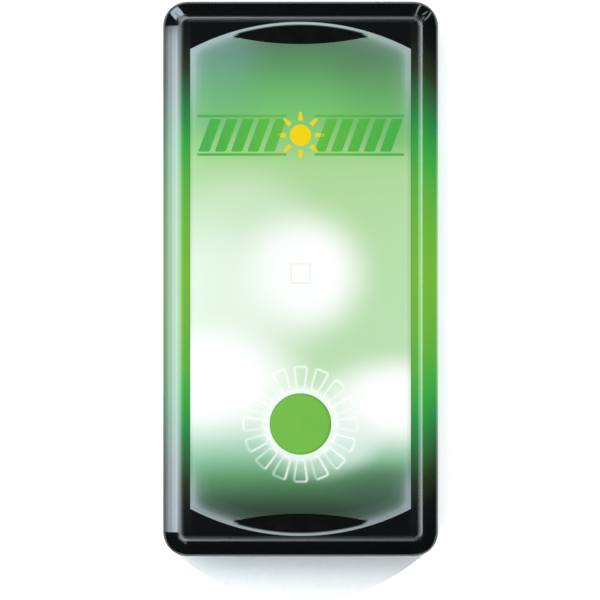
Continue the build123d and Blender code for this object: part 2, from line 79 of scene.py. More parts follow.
# Places that the frame gives. The flange of the lens runs under the frame round the window.
LENS_LOW, LENS_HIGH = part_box("diffuser_lens")
BEZEL_LOW, BEZEL_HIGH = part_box("front_bezel")
LINER_LOW, LINER_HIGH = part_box("release_liner")
FOAM_LOW, FOAM_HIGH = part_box("foam_pad")
CAP_LOW, CAP_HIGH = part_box("button_cap")
BOOT_LOW, BOOT_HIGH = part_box("button_boot")
DOME_LOW, DOME_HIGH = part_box("switch_dome")
LED_LOW, LED_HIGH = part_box("led_cup")
BUTTON_Y = (CAP_LOW.y + CAP_HIGH.y) / 2
LED_Y = (LED_LOW.y + LED_HIGH.y) / 2


def linear(code):
    """An sRGB hex colour, such as "7DC33F", as linear red, green, blue and alpha."""
    parts = [int(code[i : i + 2], 16) / 255 for i in (0, 2, 4)]
    return [p / 12.92 if p <= 0.04045 else ((p + 0.055) / 1.055) ** 2.4 for p in parts] + [1.0]


def per_metre(size):
    """The texture scale that repeats a pattern once in size, in metres."""
    return 1.0 / size


# ------------------------------------------------------------------ settings
class MarkerLightSettings(bpy.types.PropertyGroup):
    """Sizes and colours of the finish."""

    window_side: FloatProperty(
        name="Window side margin",
        description="How far the window's side lies inside the lens flange", default=0.85 * MM,
        unit="LENGTH"
    )
    window_end: FloatProperty(
        name="Window end margin",
        description="How far the top of the window's arc lies inside the lens flange",
        default=0.45 * MM, unit="LENGTH"
    )
    window_rise: FloatProperty(
        name="Window arc rise", description="Height of the arc at each end of the window",
        default=2.5 * MM, unit="LENGTH"
    )
    glow_reach: FloatProperty(
        name="Glow reach", description="How far along the case the light leaks into its sides",
        default=24 * MM, unit="LENGTH"
    )
    case_colour: FloatVectorProperty(
        name="Case", description="Smoked black polycarbonate of the frame and housing",
        default=linear("070A0A"), size=4, subtype="COLOR"
    )
    button_colour: FloatVectorProperty(
        name="Button", description="Green silicone of the push button", default=linear("76BF41"),
        size=4, subtype="COLOR"
    )
    print_colour: FloatVectorProperty(
        name="Stripe ink", description="Screen-printed ink of the slanted stripes",
        default=linear("3DAA46"), size=4, subtype="COLOR"
    )
    sun_colour: FloatVectorProperty(
        name="Sun ink", description="Screen-printed ink of the small sun",
        default=linear("F5D810"), size=4, subtype="COLOR"
    )
    stripe_count: IntProperty(
        name="Stripes per side", description="Slanted stripes on each side of the sun",
        default=5, min=1, max=8
    )
    stripe_width: FloatProperty(
        name="Stripe width", description="Width of one slanted stripe", default=1.02 * MM,
        unit="LENGTH"
    )
    stripe_pitch: FloatProperty(
        name="Stripe pitch", description="Distance from one stripe to the next", default=1.5 * MM,
        unit="LENGTH"
    )
    stripe_height: FloatProperty(
        name="Stripe height", description="Height of the row of stripes", default=3.0 * MM,
        unit="LENGTH"
    )
    stripe_lean: FloatProperty(
        name="Stripe lean",
        description="How far the top of a stripe stands to the right of its foot", default=1.1 * MM,
        unit="LENGTH"
    )
    print_y: FloatProperty(
        name="Print height",
        description="Distance from the middle of the light up to the middle of the print",
        default=13.2 * MM, unit="LENGTH"
    )
    ink_thickness: FloatProperty(
        name="Ink thickness", description="Thickness of the screen print", default=0.02 * MM,
        unit="LENGTH"
    )
    bevel_swell: FloatProperty(
        name="Bevel swell", description="How far the case's bevel swells from a straight one",
        default=0.05 * MM, unit="LENGTH"
    )
    tab_curl: FloatProperty(
        name="Tab curl", description="Angle that the liner's pull tab has curled up to at its tip",
        default=math.radians(16), subtype="ANGLE"
    )
    view_width: FloatProperty(
        name="View width", description="Width that the camera sees at the light's face",
        default=55.17 * MM, unit="LENGTH"
    )
    lens_length: FloatProperty(
        name="Focal length", description="Focal length of the camera in millimetres", default=250
    )


# ------------------------------------------------------------------ helpers
def set_inputs(node, inputs):
    """Sets or links a node's inputs, given as socket to value.

    A value that is a node stands for the first of its outputs that is in use."""
    for socket, value in dict(inputs).items():
        if isinstance(value, bpy.types.Node):
            value = next(output for output in value.outputs if output.enabled)
        if isinstance(value, bpy.types.NodeSocket):
            node.id_data.links.new(value, node.inputs[socket])
        else:
            node.inputs[socket].default_value = value


def add_node(tree, kind, inputs=(), **settings):
    """Adds a node with its settings and its inputs."""
    node = tree.nodes.new(kind)
    for name, value in settings.items():
        setattr(node, name, value)
    set_inputs(node, inputs)
    return node


def new_material(name, roughness, ior=1.5, metallic=0.0):
    """A material with its tree, its shader and the object's own coordinates."""
    material = bpy.data.materials.new(name)
    material.use_nodes = True
    tree = material.node_tree
    shader = tree.nodes["Principled BSDF"]
    set_inputs(shader, {"Roughness": roughness, "IOR": ior, "Metallic": metallic})
    place = add_node(tree, "ShaderNodeTexCoord").outputs["Object"]
    return material, tree, shader, place


def set_ramp(node, stops, interpolation="LINEAR"):
    """Gives a colour ramp its stops, a list of (position, sRGB hex)."""
    ramp = node.color_ramp
    ramp.interpolation = interpolation
    while len(ramp.elements) < len(stops):
        ramp.elements.new(0.5)
    for element, (position, code) in zip(ramp.elements, stops):
        element.position = position
        element.color = linear(code)


def speckle(tree, shader, place, colours, grain):
    """Colours a surface in two close shades that change over grain, in metres."""
    noise = add_node(
        tree, "ShaderNodeTexNoise",
        {"Vector": place, "Scale": per_metre(grain), "Detail": 4.0, "Roughness": 0.6}
    )
    ramp = add_node(tree, "ShaderNodeValToRGB", {"Fac": noise})
    set_ramp(ramp, list(zip((0.35, 0.65), colours)))
    set_inputs(shader, {"Base Color": ramp})


def emboss(tree, shader, place, grain, depth, strength=1.0, stretch=(1, 1, 1), detail=3.0):
    """Gives a surface a fine relief, with grain and depth in metres."""
    stretched = add_node(tree, "ShaderNodeMapping", {"Vector": place, "Scale": stretch})
    noise = add_node(
        tree, "ShaderNodeTexNoise",
        {"Vector": stretched, "Scale": per_metre(grain), "Detail": detail, "Roughness": 0.55}
    )
    bump = add_node(
        tree, "ShaderNodeBump", {"Height": noise, "Distance": depth, "Strength": strength}
    )
    set_inputs(shader, {"Normal": bump})


def vary_roughness(tree, shader, place, grain, low, high):
    """Makes a surface's roughness wander between low and high over grain, in metres."""
    noise = add_node(
        tree, "ShaderNodeTexNoise", {"Vector": place, "Scale": per_metre(grain), "Detail": 2.0}
    )
    spread = add_node(
        tree, "ShaderNodeMapRange",
        {"Value": noise, "From Min": 0.3, "From Max": 0.7, "To Min": low, "To Max": high}
    )
    set_inputs(shader, {"Roughness": spread})


def plain(name, roughness, ior, shades, grain, relief=(), wander=(), metallic=0.0, inputs=()):
    """A material of two close shades that change over grain, in metres.

    relief is what emboss takes after the place, and wander is what vary_roughness takes."""
    material, tree, shader, place = new_material(name, roughness, ior, metallic)
    speckle(tree, shader, place, shades, grain)
    if relief:
        emboss(tree, shader, place, *relief)
    if wander:
        vary_roughness(tree, shader, place, *wander)
    set_inputs(shader, inputs)
    return material


def glow_through(tree, shader, shade, strength, share=0.18):
    """Lights a clear or opal part from inside: it glows in a shade and is a share of it unlit."""
    body = add_node(tree, "ShaderNodeMix", {0: share, 6: BLACK, 7: shade}, data_type="RGBA")
    set_inputs(shader, {"Emission Color": shade, "Emission Strength": strength, "Base Color": body})


def finish_nodes(material, *names):
    """Gives CAD nodes their material."""
    for name in names:
        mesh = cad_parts[name].data
        mesh.materials.clear()
        mesh.materials.append(material)


def deselect():
    """Leaves nothing selected, so that an operator acts only on what comes next."""
    bpy.ops.object.select_all(action="DESELECT")


def select_only(piece):
    """Selects one piece and makes it the active one."""
    deselect()
    piece.select_set(True)
    bpy.context.view_layer.objects.active = piece


def finish_piece(piece, name, material, body, smooth=math.radians(35)):
    """Names a new piece, puts its place in its mesh, smooths and paints it, and sets it riding."""
    select_only(piece)
    bpy.ops.object.transform_apply(location=True, rotation=True, scale=True)
    bpy.ops.object.shade_smooth_by_angle(angle=smooth)
    piece.name = name
    piece.data.name = name
    piece.data.materials.clear()
    piece.data.materials.append(material)
    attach(piece, body)
    return piece


def apply_modifier(piece, kind, **settings):
    """Adds a modifier to a piece, gives it its settings and applies it."""
    select_only(piece)
    modifier = piece.modifiers.new(kind.title(), kind)
    for name, value in settings.items():
        setattr(modifier, name, value)
    bpy.ops.object.modifier_apply(modifier=modifier.name)


def pick(piece, kind, test):
    """Selects the vertices, edges or faces of a piece in edit mode whose element passes a test."""
    mode = {"verts": "VERT", "edges": "EDGE", "faces": "FACE"}[kind]
    bpy.ops.mesh.select_mode(type=mode)
    bpy.ops.mesh.select_all(action="DESELECT")
    mesh = bmesh.from_edit_mesh(piece.data)
    for element in getattr(mesh, kind):
        if test(element):
            element.select_set(True)
    mesh.select_flush_mode()
    bmesh.update_edit_mesh(piece.data)


def lathe(section, centre, vertices=96):
    """Turns a section of (radius, height) points about an upright axis, ring by ring.

    The new piece is left in edit mode with its last ring selected."""
    x, y, z = centre
    radius, height = section[0]
    deselect()
    bpy.ops.mesh.primitive_circle_add(
        vertices=vertices, radius=radius, fill_type="NOTHING", location=(x, y, z + height)
    )
    piece = bpy.context.object
    bpy.ops.object.mode_set(mode="EDIT")
    bpy.ops.mesh.select_all(action="SELECT")
    for next_radius, next_height in section[1:]:
        bpy.ops.mesh.extrude_edges_move(
            TRANSFORM_OT_translate={"value": (0, 0, next_height - height)}
        )
        if next_radius != radius:
            share = next_radius / radius
            bpy.ops.transform.resize(
                value=(share, share, 1), center_override=(x, y, z + next_height)
            )
        radius, height = next_radius, next_height
    return piece


def sized(piece, size):
    """Gives a primitive of size 1 its real size and puts its place in its mesh."""
    piece.scale = size
    bpy.ops.object.transform_apply(location=True, rotation=True, scale=True)
    return piece


def context_collection():
    """The collection that new pieces and lamps go in."""
    return bpy.context.scene.collection


def join(pieces):
    """Joins pieces into the first one, their places in its mesh."""
    deselect()
    for piece in pieces:
        piece.select_set(True)
    bpy.context.view_layer.objects.active = pieces[0]
    bpy.ops.object.transform_apply(location=True, rotation=True, scale=True)
    bpy.ops.object.join()
    return bpy.context.object


# ------------------------------------------------------------------ the light inside
# The green light that leaks along the case: bright level with the LED, blue-green, then dark.
LEAK_STOPS = [
    (0.0, "7DC440"), (0.21, "73BF43"), (0.36, "61B947"), (0.44, "4BB448"), (0.50, "3DAD48"),
    (0.60, "30914A"), (0.70, "306B3D"), (0.79, "2A3A20"), (0.90, "0E120F"), (1.0, "030404")
]

# The lens along its length, as heights from its middle in millimetres.
LENS_STOPS = [
    (-22.5, "2C3D30"), (-21.0, "304636"), (-19.8, "41684A"), (-18.5, "568C5E"), (-17.2, "75AD84"),
    (-15.8, "A2CEB0"), (-14.2, "C2DECA"), (-11.0, "C6E2BE"), (-8.5, "B9DAAD"), (-1.5, "B9DCAC"),
    (6.5, "B3D8A0"), (10.5, "AAD494"), (12.0, "98CC80"), (14.0, "80C472"), (16.0, "73BD6E"),
    (18.8, "5E9F60"), (21.0, "57835E"), (22.5, "54745C")
]

# Lobes of painted light in the lens, and near its ends dimmer ones of painted shade: middle (x, y),
# reach (x, y), how full, and colour.
LENS_LOBES = [
    ((0.2, 0.5), (8.2, 7.9), 1.0, "FFFEFC"),
    ((-9.6, -2.6), (15.0, 11.0), 0.74, "F0F7EE"),
    ((-8.6, -9.4), (12.0, 7.0), 1.0, "FFFEFC"),
    ((9.4, -11.2), (10.5, 5.6), 1.0, "FFFEFC"),
    ((0.0, -13.6), (5.6, 3.8), 0.6, "FFFFFF"),
    ((-5.5, 5.5), (9.0, 6.5), 0.3, "F4F8F4"),
    ((4.4, -14.9), (4.4, 3.2), 0.55, "EDF6F0"),
    ((1.6, -16.4), (6.0, 2.8), 0.5, "DDEFE4"),
    ((9.5, 20.5), (10.0, 7.0), 0.7, "587D62"),
    ((-9.0, 20.5), (8.0, 5.0), 0.6, "729894"),
    ((8.5, 15.5), (8.0, 6.0), 0.5, "62AA5F"),
    ((-8.0, 16.5), (7.0, 5.0), 0.5, "6CAE7C"),
    ((9.0, -19.4), (9.0, 3.5), 0.6, "3F5A4C"),
]


def leak_field(tree, place, reach):
    """The colour of the light leaking along the case, from how far a point is from the LED.

    It also gives how far the point is from the middle line, and its three coordinates."""
    split = add_node(tree, "ShaderNodeSeparateXYZ", {"Vector": place})
    along = add_node(
        tree, "ShaderNodeMath", {0: split.outputs["Y"], 1: LED_Y}, operation="SUBTRACT"
    )
    distance = add_node(tree, "ShaderNodeMath", {0: along}, operation="ABSOLUTE")
    across = add_node(tree, "ShaderNodeMath", {0: split.outputs["X"]}, operation="ABSOLUTE")
    beyond = add_node(
        tree, "ShaderNodeMapRange",
        {
            "Value": across, "From Min": BEZEL_HIGH.x - 1.5 * MM,
            "From Max": BEZEL_HIGH.x, "To Max": 1.6 * MM
        }
    )
    further = add_node(tree, "ShaderNodeMath", {0: distance, 1: beyond}, operation="ADD")
    share = add_node(tree, "ShaderNodeMath", {0: further, 1: reach}, operation="DIVIDE")
    ramp = add_node(tree, "ShaderNodeValToRGB", {"Fac": share})
    set_ramp(ramp, LEAK_STOPS)
    return ramp, across, split


def window_distance(tree, split, settings):
    """How far a point of the lens lies inside the window's outline, in metres."""
    half = LENS_HIGH.x - settings.window_side
    apex = LENS_HIGH.y - settings.window_end
    rise = settings.window_rise
    radius = (half**2 + rise**2) / (2 * rise)
    across = add_node(tree, "ShaderNodeMath", {0: split.outputs["X"]}, operation="ABSOLUTE")
    along = add_node(tree, "ShaderNodeMath", {0: split.outputs["Y"]}, operation="ABSOLUTE")
    to_side = add_node(tree, "ShaderNodeMath", {0: half, 1: across}, operation="SUBTRACT")
    from_centre = add_node(
        tree, "ShaderNodeMath", {0: along, 1: apex - radius}, operation="SUBTRACT"
    )
    spoke = add_node(tree, "ShaderNodeCombineXYZ", {"X": across, "Y": from_centre})
    length = add_node(tree, "ShaderNodeVectorMath", {0: spoke}, operation="LENGTH")
    to_end = add_node(tree, "ShaderNodeMath", {0: radius, 1: length}, operation="SUBTRACT")
    nearest = add_node(
        tree, "ShaderNodeMath", {0: to_side, 1: to_end, 2: 1.2 * MM}, operation="SMOOTH_MIN"
    )
    return nearest, to_end


def lens_field(tree, place, settings):
    """The colour of the lit lens: its length's ramp and its lobes of painted light and shade."""
    split = add_node(tree, "ShaderNodeSeparateXYZ", {"Vector": place})
    low, high = LENS_STOPS[0][0], LENS_STOPS[-1][0]
    share = add_node(
        tree, "ShaderNodeMapRange",
        {"Value": split.outputs["Y"], "From Min": low * MM, "From Max": high * MM}
    )
    ramp = add_node(tree, "ShaderNodeValToRGB", {"Fac": share})
    set_ramp(ramp, [((y - low) / (high - low), code) for y, code in LENS_STOPS], "B_SPLINE")
    colour = ramp
    flat = add_node(
        tree, "ShaderNodeCombineXYZ", {"X": split.outputs["X"], "Y": split.outputs["Y"]}
    )
    for (x, y), (reach_x, reach_y), fullness, code in LENS_LOBES:
        lobe = add_node(
            tree, "ShaderNodeMapping",
            {
                "Vector": flat, "Location": (-x / reach_x, -y / reach_y, 0),
                "Scale": (1 / (reach_x * MM), 1 / (reach_y * MM), 1)
            }
        )
        away = add_node(tree, "ShaderNodeVectorMath", {0: lobe}, operation="LENGTH")
        share = add_node(
            tree, "ShaderNodeMapRange",
            {"Value": away, "From Min": 1.0, "From Max": 0.2, "To Max": fullness},
            interpolation_type="SMOOTHERSTEP"
        )
        mix = add_node(
            tree, "ShaderNodeMix", {0: share, 6: colour, 7: linear(code)}, data_type="RGBA"
        )
        colour = mix
    return colour, split


# ------------------------------------------------------------------ case
class MARKERLIGHT_OT_case(bpy.types.Operator):
    """Finish the frame, the rear housing and the seal between them"""

    bl_idname = "marker_light.case"
    bl_label = "Finish Case"

    def execute(self, context):
        settings = context.scene.marker_light
        finish_nodes(self.frame_plastic(settings), "front_bezel")
        finish_nodes(self.housing_plastic(), "rear_housing")
        finish_nodes(self.seal_silicone(), "perimeter_seal")
        return {"FINISHED"}

    def frame_plastic(self, settings):
        # Polycarbonate, smoked black and moulded in a polished tool: near-black with a deep gloss
        # and sharp reflections. Light from the LED leaks into its long sides and shows green.
        material, tree, shader, place = new_material("smoked_polycarbonate_polished", 0.07, 1.58)
        set_inputs(shader, {"Base Color": settings.case_colour, "Coat IOR": 1.6})
        leak, across, split = leak_field(tree, place, settings.glow_reach)
        # The ridge round the land is worn from gloss to satin, which makes its highlight soft.
        worn = self.ridge_wear(tree, across, split)
        set_inputs(shader, {"Roughness": worn, "Coat Roughness": POLISHED})
        sides = add_node(
            tree, "ShaderNodeMapRange",
            {"Value": across, "From Min": LEAK_STARTS, "From Max": LEAK_FULL},
            interpolation_type="SMOOTHSTEP"
        )
        # The left side's bevel leaks less than the right's.
        right = add_node(
            tree, "ShaderNodeMapRange",
            {
                "Value": split.outputs["X"], "From Min": BEZEL_LOW.x + BEVEL_WIDTH,
                "From Max": BEZEL_LOW.x + 1.7 * MM, "To Min": 0.5
            },
            interpolation_type="SMOOTHSTEP"
        )
        heights = add_node(
            tree, "ShaderNodeMapRange",
            {
                "Value": split.outputs["Z"], "From Min": BEZEL_LOW.z,
                "From Max": BEZEL_HIGH.z - 1.0 * MM
            },
            interpolation_type="SMOOTHSTEP"
        )
        lit = add_node(tree, "ShaderNodeMath", {0: sides, 1: heights}, operation="MULTIPLY")
        leaking = add_node(tree, "ShaderNodeMath", {0: lit, 1: right}, operation="MULTIPLY")
        # The polish ends at the shoulder: the upright walls are left as moulded, and mirror less.
        polish = add_node(
            tree, "ShaderNodeMapRange",
            {
                "Value": split.outputs["Z"], "From Min": BEZEL_HIGH.z - 0.76 * MM,
                "From Max": BEZEL_HIGH.z - 0.6 * MM, "To Min": 0.0, "To Max": 0.9
            }
        )
        unworn = add_node(
            tree, "ShaderNodeMapRange",
            {"Value": worn, "From Min": POLISHED, "From Max": SATIN, "To Min": 1.0, "To Max": 0.3}
        )
        coat = add_node(tree, "ShaderNodeMath", {0: polish, 1: unworn}, operation="MULTIPLY")
        set_inputs(shader, {"Coat Weight": coat})
        glow = add_node(tree, "ShaderNodeMix", {0: leaking, 6: BLACK, 7: leak}, data_type="RGBA")
        set_inputs(shader, {"Emission Color": glow, "Emission Strength": 0.9})
        # The bevel swells a little between its ridge and its foot.
        along = add_node(tree, "ShaderNodeMath", {0: split.outputs["Y"]}, operation="ABSOLUTE")
        off_x, off_y = (
            add_node(
                tree, "ShaderNodeMapRange",
                {
                    "Value": value, "From Min": edge - BEVEL_WIDTH, "From Max": edge,
                    "To Min": -1.0, "To Max": 1.0
                }
            )
            for value, edge in ((across, BEZEL_HIGH.x), (along, BEZEL_HIGH.y))
        )
        furthest = add_node(tree, "ShaderNodeMath", {0: off_x, 1: off_y}, operation="MAXIMUM")
        squared = add_node(tree, "ShaderNodeMath", {0: furthest, 1: furthest}, operation="MULTIPLY")
        swell = add_node(tree, "ShaderNodeMath", {0: 1.0, 1: squared}, operation="SUBTRACT")
        bump = add_node(
            tree, "ShaderNodeBump",
            {"Height": swell, "Distance": settings.bevel_swell, "Strength": 1.0}
        )
        set_inputs(shader, {"Normal": bump, "Coat Normal": bump})
        return material

    def ridge_wear(self, tree, across, split):
        """The roughness of the frame: satin on the ridge and polished everywhere else."""
        along = add_node(tree, "ShaderNodeMath", {0: split.outputs["Y"]}, operation="ABSOLUTE")
        off_x = add_node(
            tree, "ShaderNodeMath", {0: across, 1: BEZEL_HIGH.x - RIDGE_INSET}, operation="SUBTRACT"
        )
        off_y = add_node(
            tree, "ShaderNodeMath", {0: along, 1: BEZEL_HIGH.y - RIDGE_INSET}, operation="SUBTRACT"
        )
        outward = add_node(tree, "ShaderNodeMath", {0: off_x, 1: off_y}, operation="MAXIMUM")
        away = add_node(tree, "ShaderNodeMath", {0: outward}, operation="ABSOLUTE")
        worn = add_node(
            tree, "ShaderNodeMapRange",
            {
                "Value": away, "From Min": 0.4 * MM, "From Max": 0.15 * MM,
                "To Min": POLISHED, "To Max": SATIN
            },
            interpolation_type="SMOOTHSTEP"
        )
        return worn

    def housing_plastic(self):
        # ABS, black, moulded in a spark-eroded tool: an even fine matt texture, 0.12 mm across,
        # that breaks up every reflection.
        return plain(
            "black_abs_spark_eroded", 0.5, 1.53, ("0A0C0C", "141718"), 0.5 * MM,
            relief=(0.12 * MM, 0.012 * MM, 0.8), wander=(2 * MM, 0.42, 0.56)
        )

    def seal_silicone(self):
        # Silicone rubber, grey, die-cut from sheet: soft and slightly waxy.
        return plain(
            "grey_silicone_die_cut", 0.55, 1.41, ("4A4D50", "5A5E61"), 1.5 * MM,
            relief=(0.2 * MM, 0.006 * MM)
        )


# ------------------------------------------------------------------ lens and masks
class MARKERLIGHT_OT_lens(bpy.types.Operator):
    """Light the diffuser lens from inside and print its end masks"""

    bl_idname = "marker_light.lens"
    bl_label = "Light Lens"

    def execute(self, context):
        settings = context.scene.marker_light
        finish_nodes(self.frosted_polycarbonate(settings), "diffuser_lens")
        finish_nodes(self.mask_ink(), "upper_end_mask", "lower_end_mask")
        return {"FINISHED"}

    def frosted_polycarbonate(self, settings):
        # Polycarbonate, opal, moulded with a light frost outside: it scatters the LED's green light
        # into a soft field. The clear bright line along every bevel and the pale edge of the window
        # are painted highlights.
        material, tree, shader, place = new_material("opal_polycarbonate_lit", 0.13, 1.5)
        field, split = lens_field(tree, place, settings)
        inside, to_end = window_distance(tree, split, settings)
        # Painted highlight along the window's edge: pale grey-blue, fading inwards, strongest at
        # the ends.
        depth = add_node(tree, "ShaderNodeMapRange", {"Value": inside, "From Max": 5 * MM})
        rim = add_node(tree, "ShaderNodeValToRGB", {"Fac": depth})
        set_ramp(
            rim,
            [(0.0, "EDEDED"), (0.07, "CCCCCC"), (0.14, "898989"), (0.22, "505050"), (0.4, "000000")]
        )
        top, bottom = (
            add_node(
                tree, "ShaderNodeMapRange",
                {
                    "Value": split.outputs["Y"], "From Min": start * MM, "From Max": end * MM,
                    "To Min": least, "To Max": most
                },
                interpolation_type="SMOOTHSTEP"
            )
            for start, end, least, most in ((12, 20, 0.1, 0.9), (-15, -20, 0.0, 0.75))
        )
        strength = add_node(tree, "ShaderNodeMath", {0: top, 1: bottom}, operation="MAXIMUM")
        rim_highlight = add_node(tree, "ShaderNodeMath", {0: rim, 1: strength}, operation="MULTIPLY")
        rim_highlighted = add_node(
            tree, "ShaderNodeMix", {0: rim_highlight, 6: field, 7: linear("BACBCF")}, data_type="RGBA"
        )
        # Painted white highlight on the fins' sloping walls and on the collar round the button.
        rounded = add_node(tree, "ShaderNodeBevel", {"Radius": 0.3 * MM}, samples=10)
        facing = add_node(tree, "ShaderNodeSeparateXYZ", {"Vector": rounded})
        from_button = add_node(
            tree, "ShaderNodeVectorMath", {0: place, 1: (0, BUTTON_Y, LENS_HIGH.z)},
            operation="DISTANCE"
        )
        by_button = add_node(
            tree, "ShaderNodeMapRange",
            {"Value": from_button, "From Min": 6.2 * MM, "From Max": 5.8 * MM}
        )
        slope = add_node(
            tree, "ShaderNodeMapRange",
            {"Value": facing.outputs["Z"], "From Min": 0.995, "From Max": 0.85, "To Max": 0.9}
        )
        collar = add_node(
            tree, "ShaderNodeMapRange",
            {"Value": from_button, "From Min": 3.9 * MM, "From Max": 3.0 * MM, "To Max": 0.7},
            interpolation_type="SMOOTHSTEP"
        )
        # The painted highlight is brighter on the fins' right-hand walls than on their left-hand
        # ones.
        caught = add_node(
            tree, "ShaderNodeMapRange",
            {"Value": facing.outputs["X"], "From Min": -0.2, "From Max": 0.2, "To Min": 0.35}
        )
        walls = add_node(tree, "ShaderNodeMath", {0: slope, 1: caught}, operation="MULTIPLY")
        # Keeps the painted highlight to the fins round the button, and adds the collar's.
        moulded = add_node(tree, "ShaderNodeMath", {0: walls, 1: by_button}, operation="MULTIPLY")
        relief = add_node(tree, "ShaderNodeMath", {0: moulded, 1: collar}, operation="MAXIMUM")
        # A dark band of painted shade along the end masks, across the middle of the window.
        painted_shade_band = self.mask_edge(tree, split, to_end)
        bevel_highlighted = add_node(
            tree, "ShaderNodeMix", {0: relief, 6: rim_highlighted, 7: linear("F8FDFA")}, data_type="RGBA"
        )
        masked = add_node(
            tree, "ShaderNodeMix", {0: painted_shade_band, 6: bevel_highlighted, 7: linear("0A0D0C")}, data_type="RGBA"
        )
        shown = add_node(
            tree, "ShaderNodeMix",
            {0: self.lamp_outline(tree, split), 6: masked, 7: linear("BFE0B4")}, data_type="RGBA"
        )
        glow_through(tree, shader, shown, 0.77)
        emboss(tree, shader, place, 0.15 * MM, 0.001 * MM, 0.5)
        return material

    def mask_edge(self, tree, split, to_end):
        """A dark band inside the window's bright rim at each end, painted shade by the end masks.
        """
        rim = add_node(
            tree, "ShaderNodeMapRange",
            {"Value": to_end, "From Min": 0.22 * MM, "From Max": 0.3 * MM}
        )
        behind = add_node(
            tree, "ShaderNodeMapRange",
            {"Value": to_end, "From Min": 0.75 * MM, "From Max": 0.65 * MM}
        )
        across = add_node(tree, "ShaderNodeMath", {0: split.outputs["X"]}, operation="ABSOLUTE")
        middle = add_node(
            tree, "ShaderNodeMapRange",
            {"Value": across, "From Min": 6.3 * MM, "From Max": 5.6 * MM}
        )
        band = add_node(tree, "ShaderNodeMath", {0: rim, 1: behind}, operation="MULTIPLY")
        painted_shade_band = add_node(tree, "ShaderNodeMath", {0: band, 1: middle}, operation="MULTIPLY")
        return painted_shade_band

    def lamp_outline(self, tree, split):
        """The faint square outline of the lamp that shows through the lens."""
        across = add_node(tree, "ShaderNodeMath", {0: split.outputs["X"]}, operation="ABSOLUTE")
        off = add_node(
            tree, "ShaderNodeMath", {0: split.outputs["Y"], 1: LED_Y + 0.1 * MM},
            operation="SUBTRACT"
        )
        along = add_node(tree, "ShaderNodeMath", {0: off}, operation="ABSOLUTE")
        square = add_node(tree, "ShaderNodeMath", {0: across, 1: along}, operation="MAXIMUM")
        outline = add_node(
            tree, "ShaderNodeMath", {0: square, 1: 0.88 * MM, 2: 0.07 * MM}, operation="COMPARE"
        )
        faint = add_node(tree, "ShaderNodeMath", {0: outline, 1: 0.4}, operation="MULTIPLY")
        return faint

    def mask_ink(self):
        # Screen-printed black ink on a polycarbonate inlay: dense, level and satin.
        return plain(
            "black_screen_ink", 0.16, 1.45, ("030403", "080A07"), 1.2 * MM,
            relief=(0.25 * MM, 0.001 * MM), inputs={"Specular IOR Level": 0.2}
        )


# ------------------------------------------------------------------ button
class MARKERLIGHT_OT_button(bpy.types.Operator):
    """Finish the push button and mould the silicone boot under it"""

    bl_idname = "marker_light.button"
    bl_label = "Finish Button"

    def execute(self, context):
        settings = context.scene.marker_light
        finish_nodes(self.button_silicone(settings), "button_cap")
        self.boot()
        return {"FINISHED"}

    def button_silicone(self, settings):
        # Silicone-coated ABS, green and backlit: an even soft matt colour that glows a little.
        material, tree, shader, place = new_material("green_soft_touch_button", 0.62, 1.45)
        noise = add_node(
            tree, "ShaderNodeTexNoise",
            {"Vector": place, "Scale": per_metre(1.6 * MM), "Detail": 3.0}
        )
        shade = add_node(
            tree, "ShaderNodeMix", {0: noise, 6: linear("70BB3E"), 7: settings.button_colour},
            data_type="RGBA"
        )
        glow_through(tree, shader, shade, 0.5, 0.3)
        set_inputs(shader, {"Specular IOR Level": 0.25})
        emboss(tree, shader, place, 0.09 * MM, 0.003 * MM, 0.5)
        return material

    def boot(self):
        """A ring of silicone: a broad foot, a web that leans in, and the lip under the button."""
        height = BOOT_HIGH.z - BOOT_LOW.z
        foot = BOOT_HIGH.x
        web = 0.35 * MM
        inner = foot - 0.6 * MM
        lip = CAP_HIGH.x - 0.1 * MM
        section = [
            (foot, 0), (foot, web / 2), (inner + web, web), (lip + 0.05 * MM, height - 0.22 * MM),
            (lip, height), (lip - 0.4 * MM, height), (lip - 0.38 * MM, height - 0.22 * MM),
            (inner, web), (inner, 0), (foot, 0)
        ]
        boot = lathe(section, (0, BUTTON_Y, BOOT_LOW.z))
        bpy.ops.mesh.remove_doubles(threshold=0.001 * MM)
        bpy.ops.mesh.select_all(action="SELECT")
        bpy.ops.mesh.normals_make_consistent(inside=False)
        bpy.ops.object.mode_set(mode="OBJECT")
        apply_modifier(boot, "BEVEL", width=0.05 * MM, segments=3, angle_limit=math.radians(30))
        finish_piece(boot, "button_boot_web", self.boot_silicone(), "housing")
        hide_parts("button_boot")
        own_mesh(boot)

    def boot_silicone(self):
        # Silicone rubber, unpigmented and moulded: milky, soft-edged and a little waxy.
        return plain(
            "milky_silicone_moulded", 0.45, 1.41, ("C9D6CA", "DDE6DC"), 1.8 * MM,
            relief=(0.3 * MM, 0.004 * MM),
            inputs={"Subsurface Weight": 0.3, "Subsurface Scale": 0.4 * MM}
        )


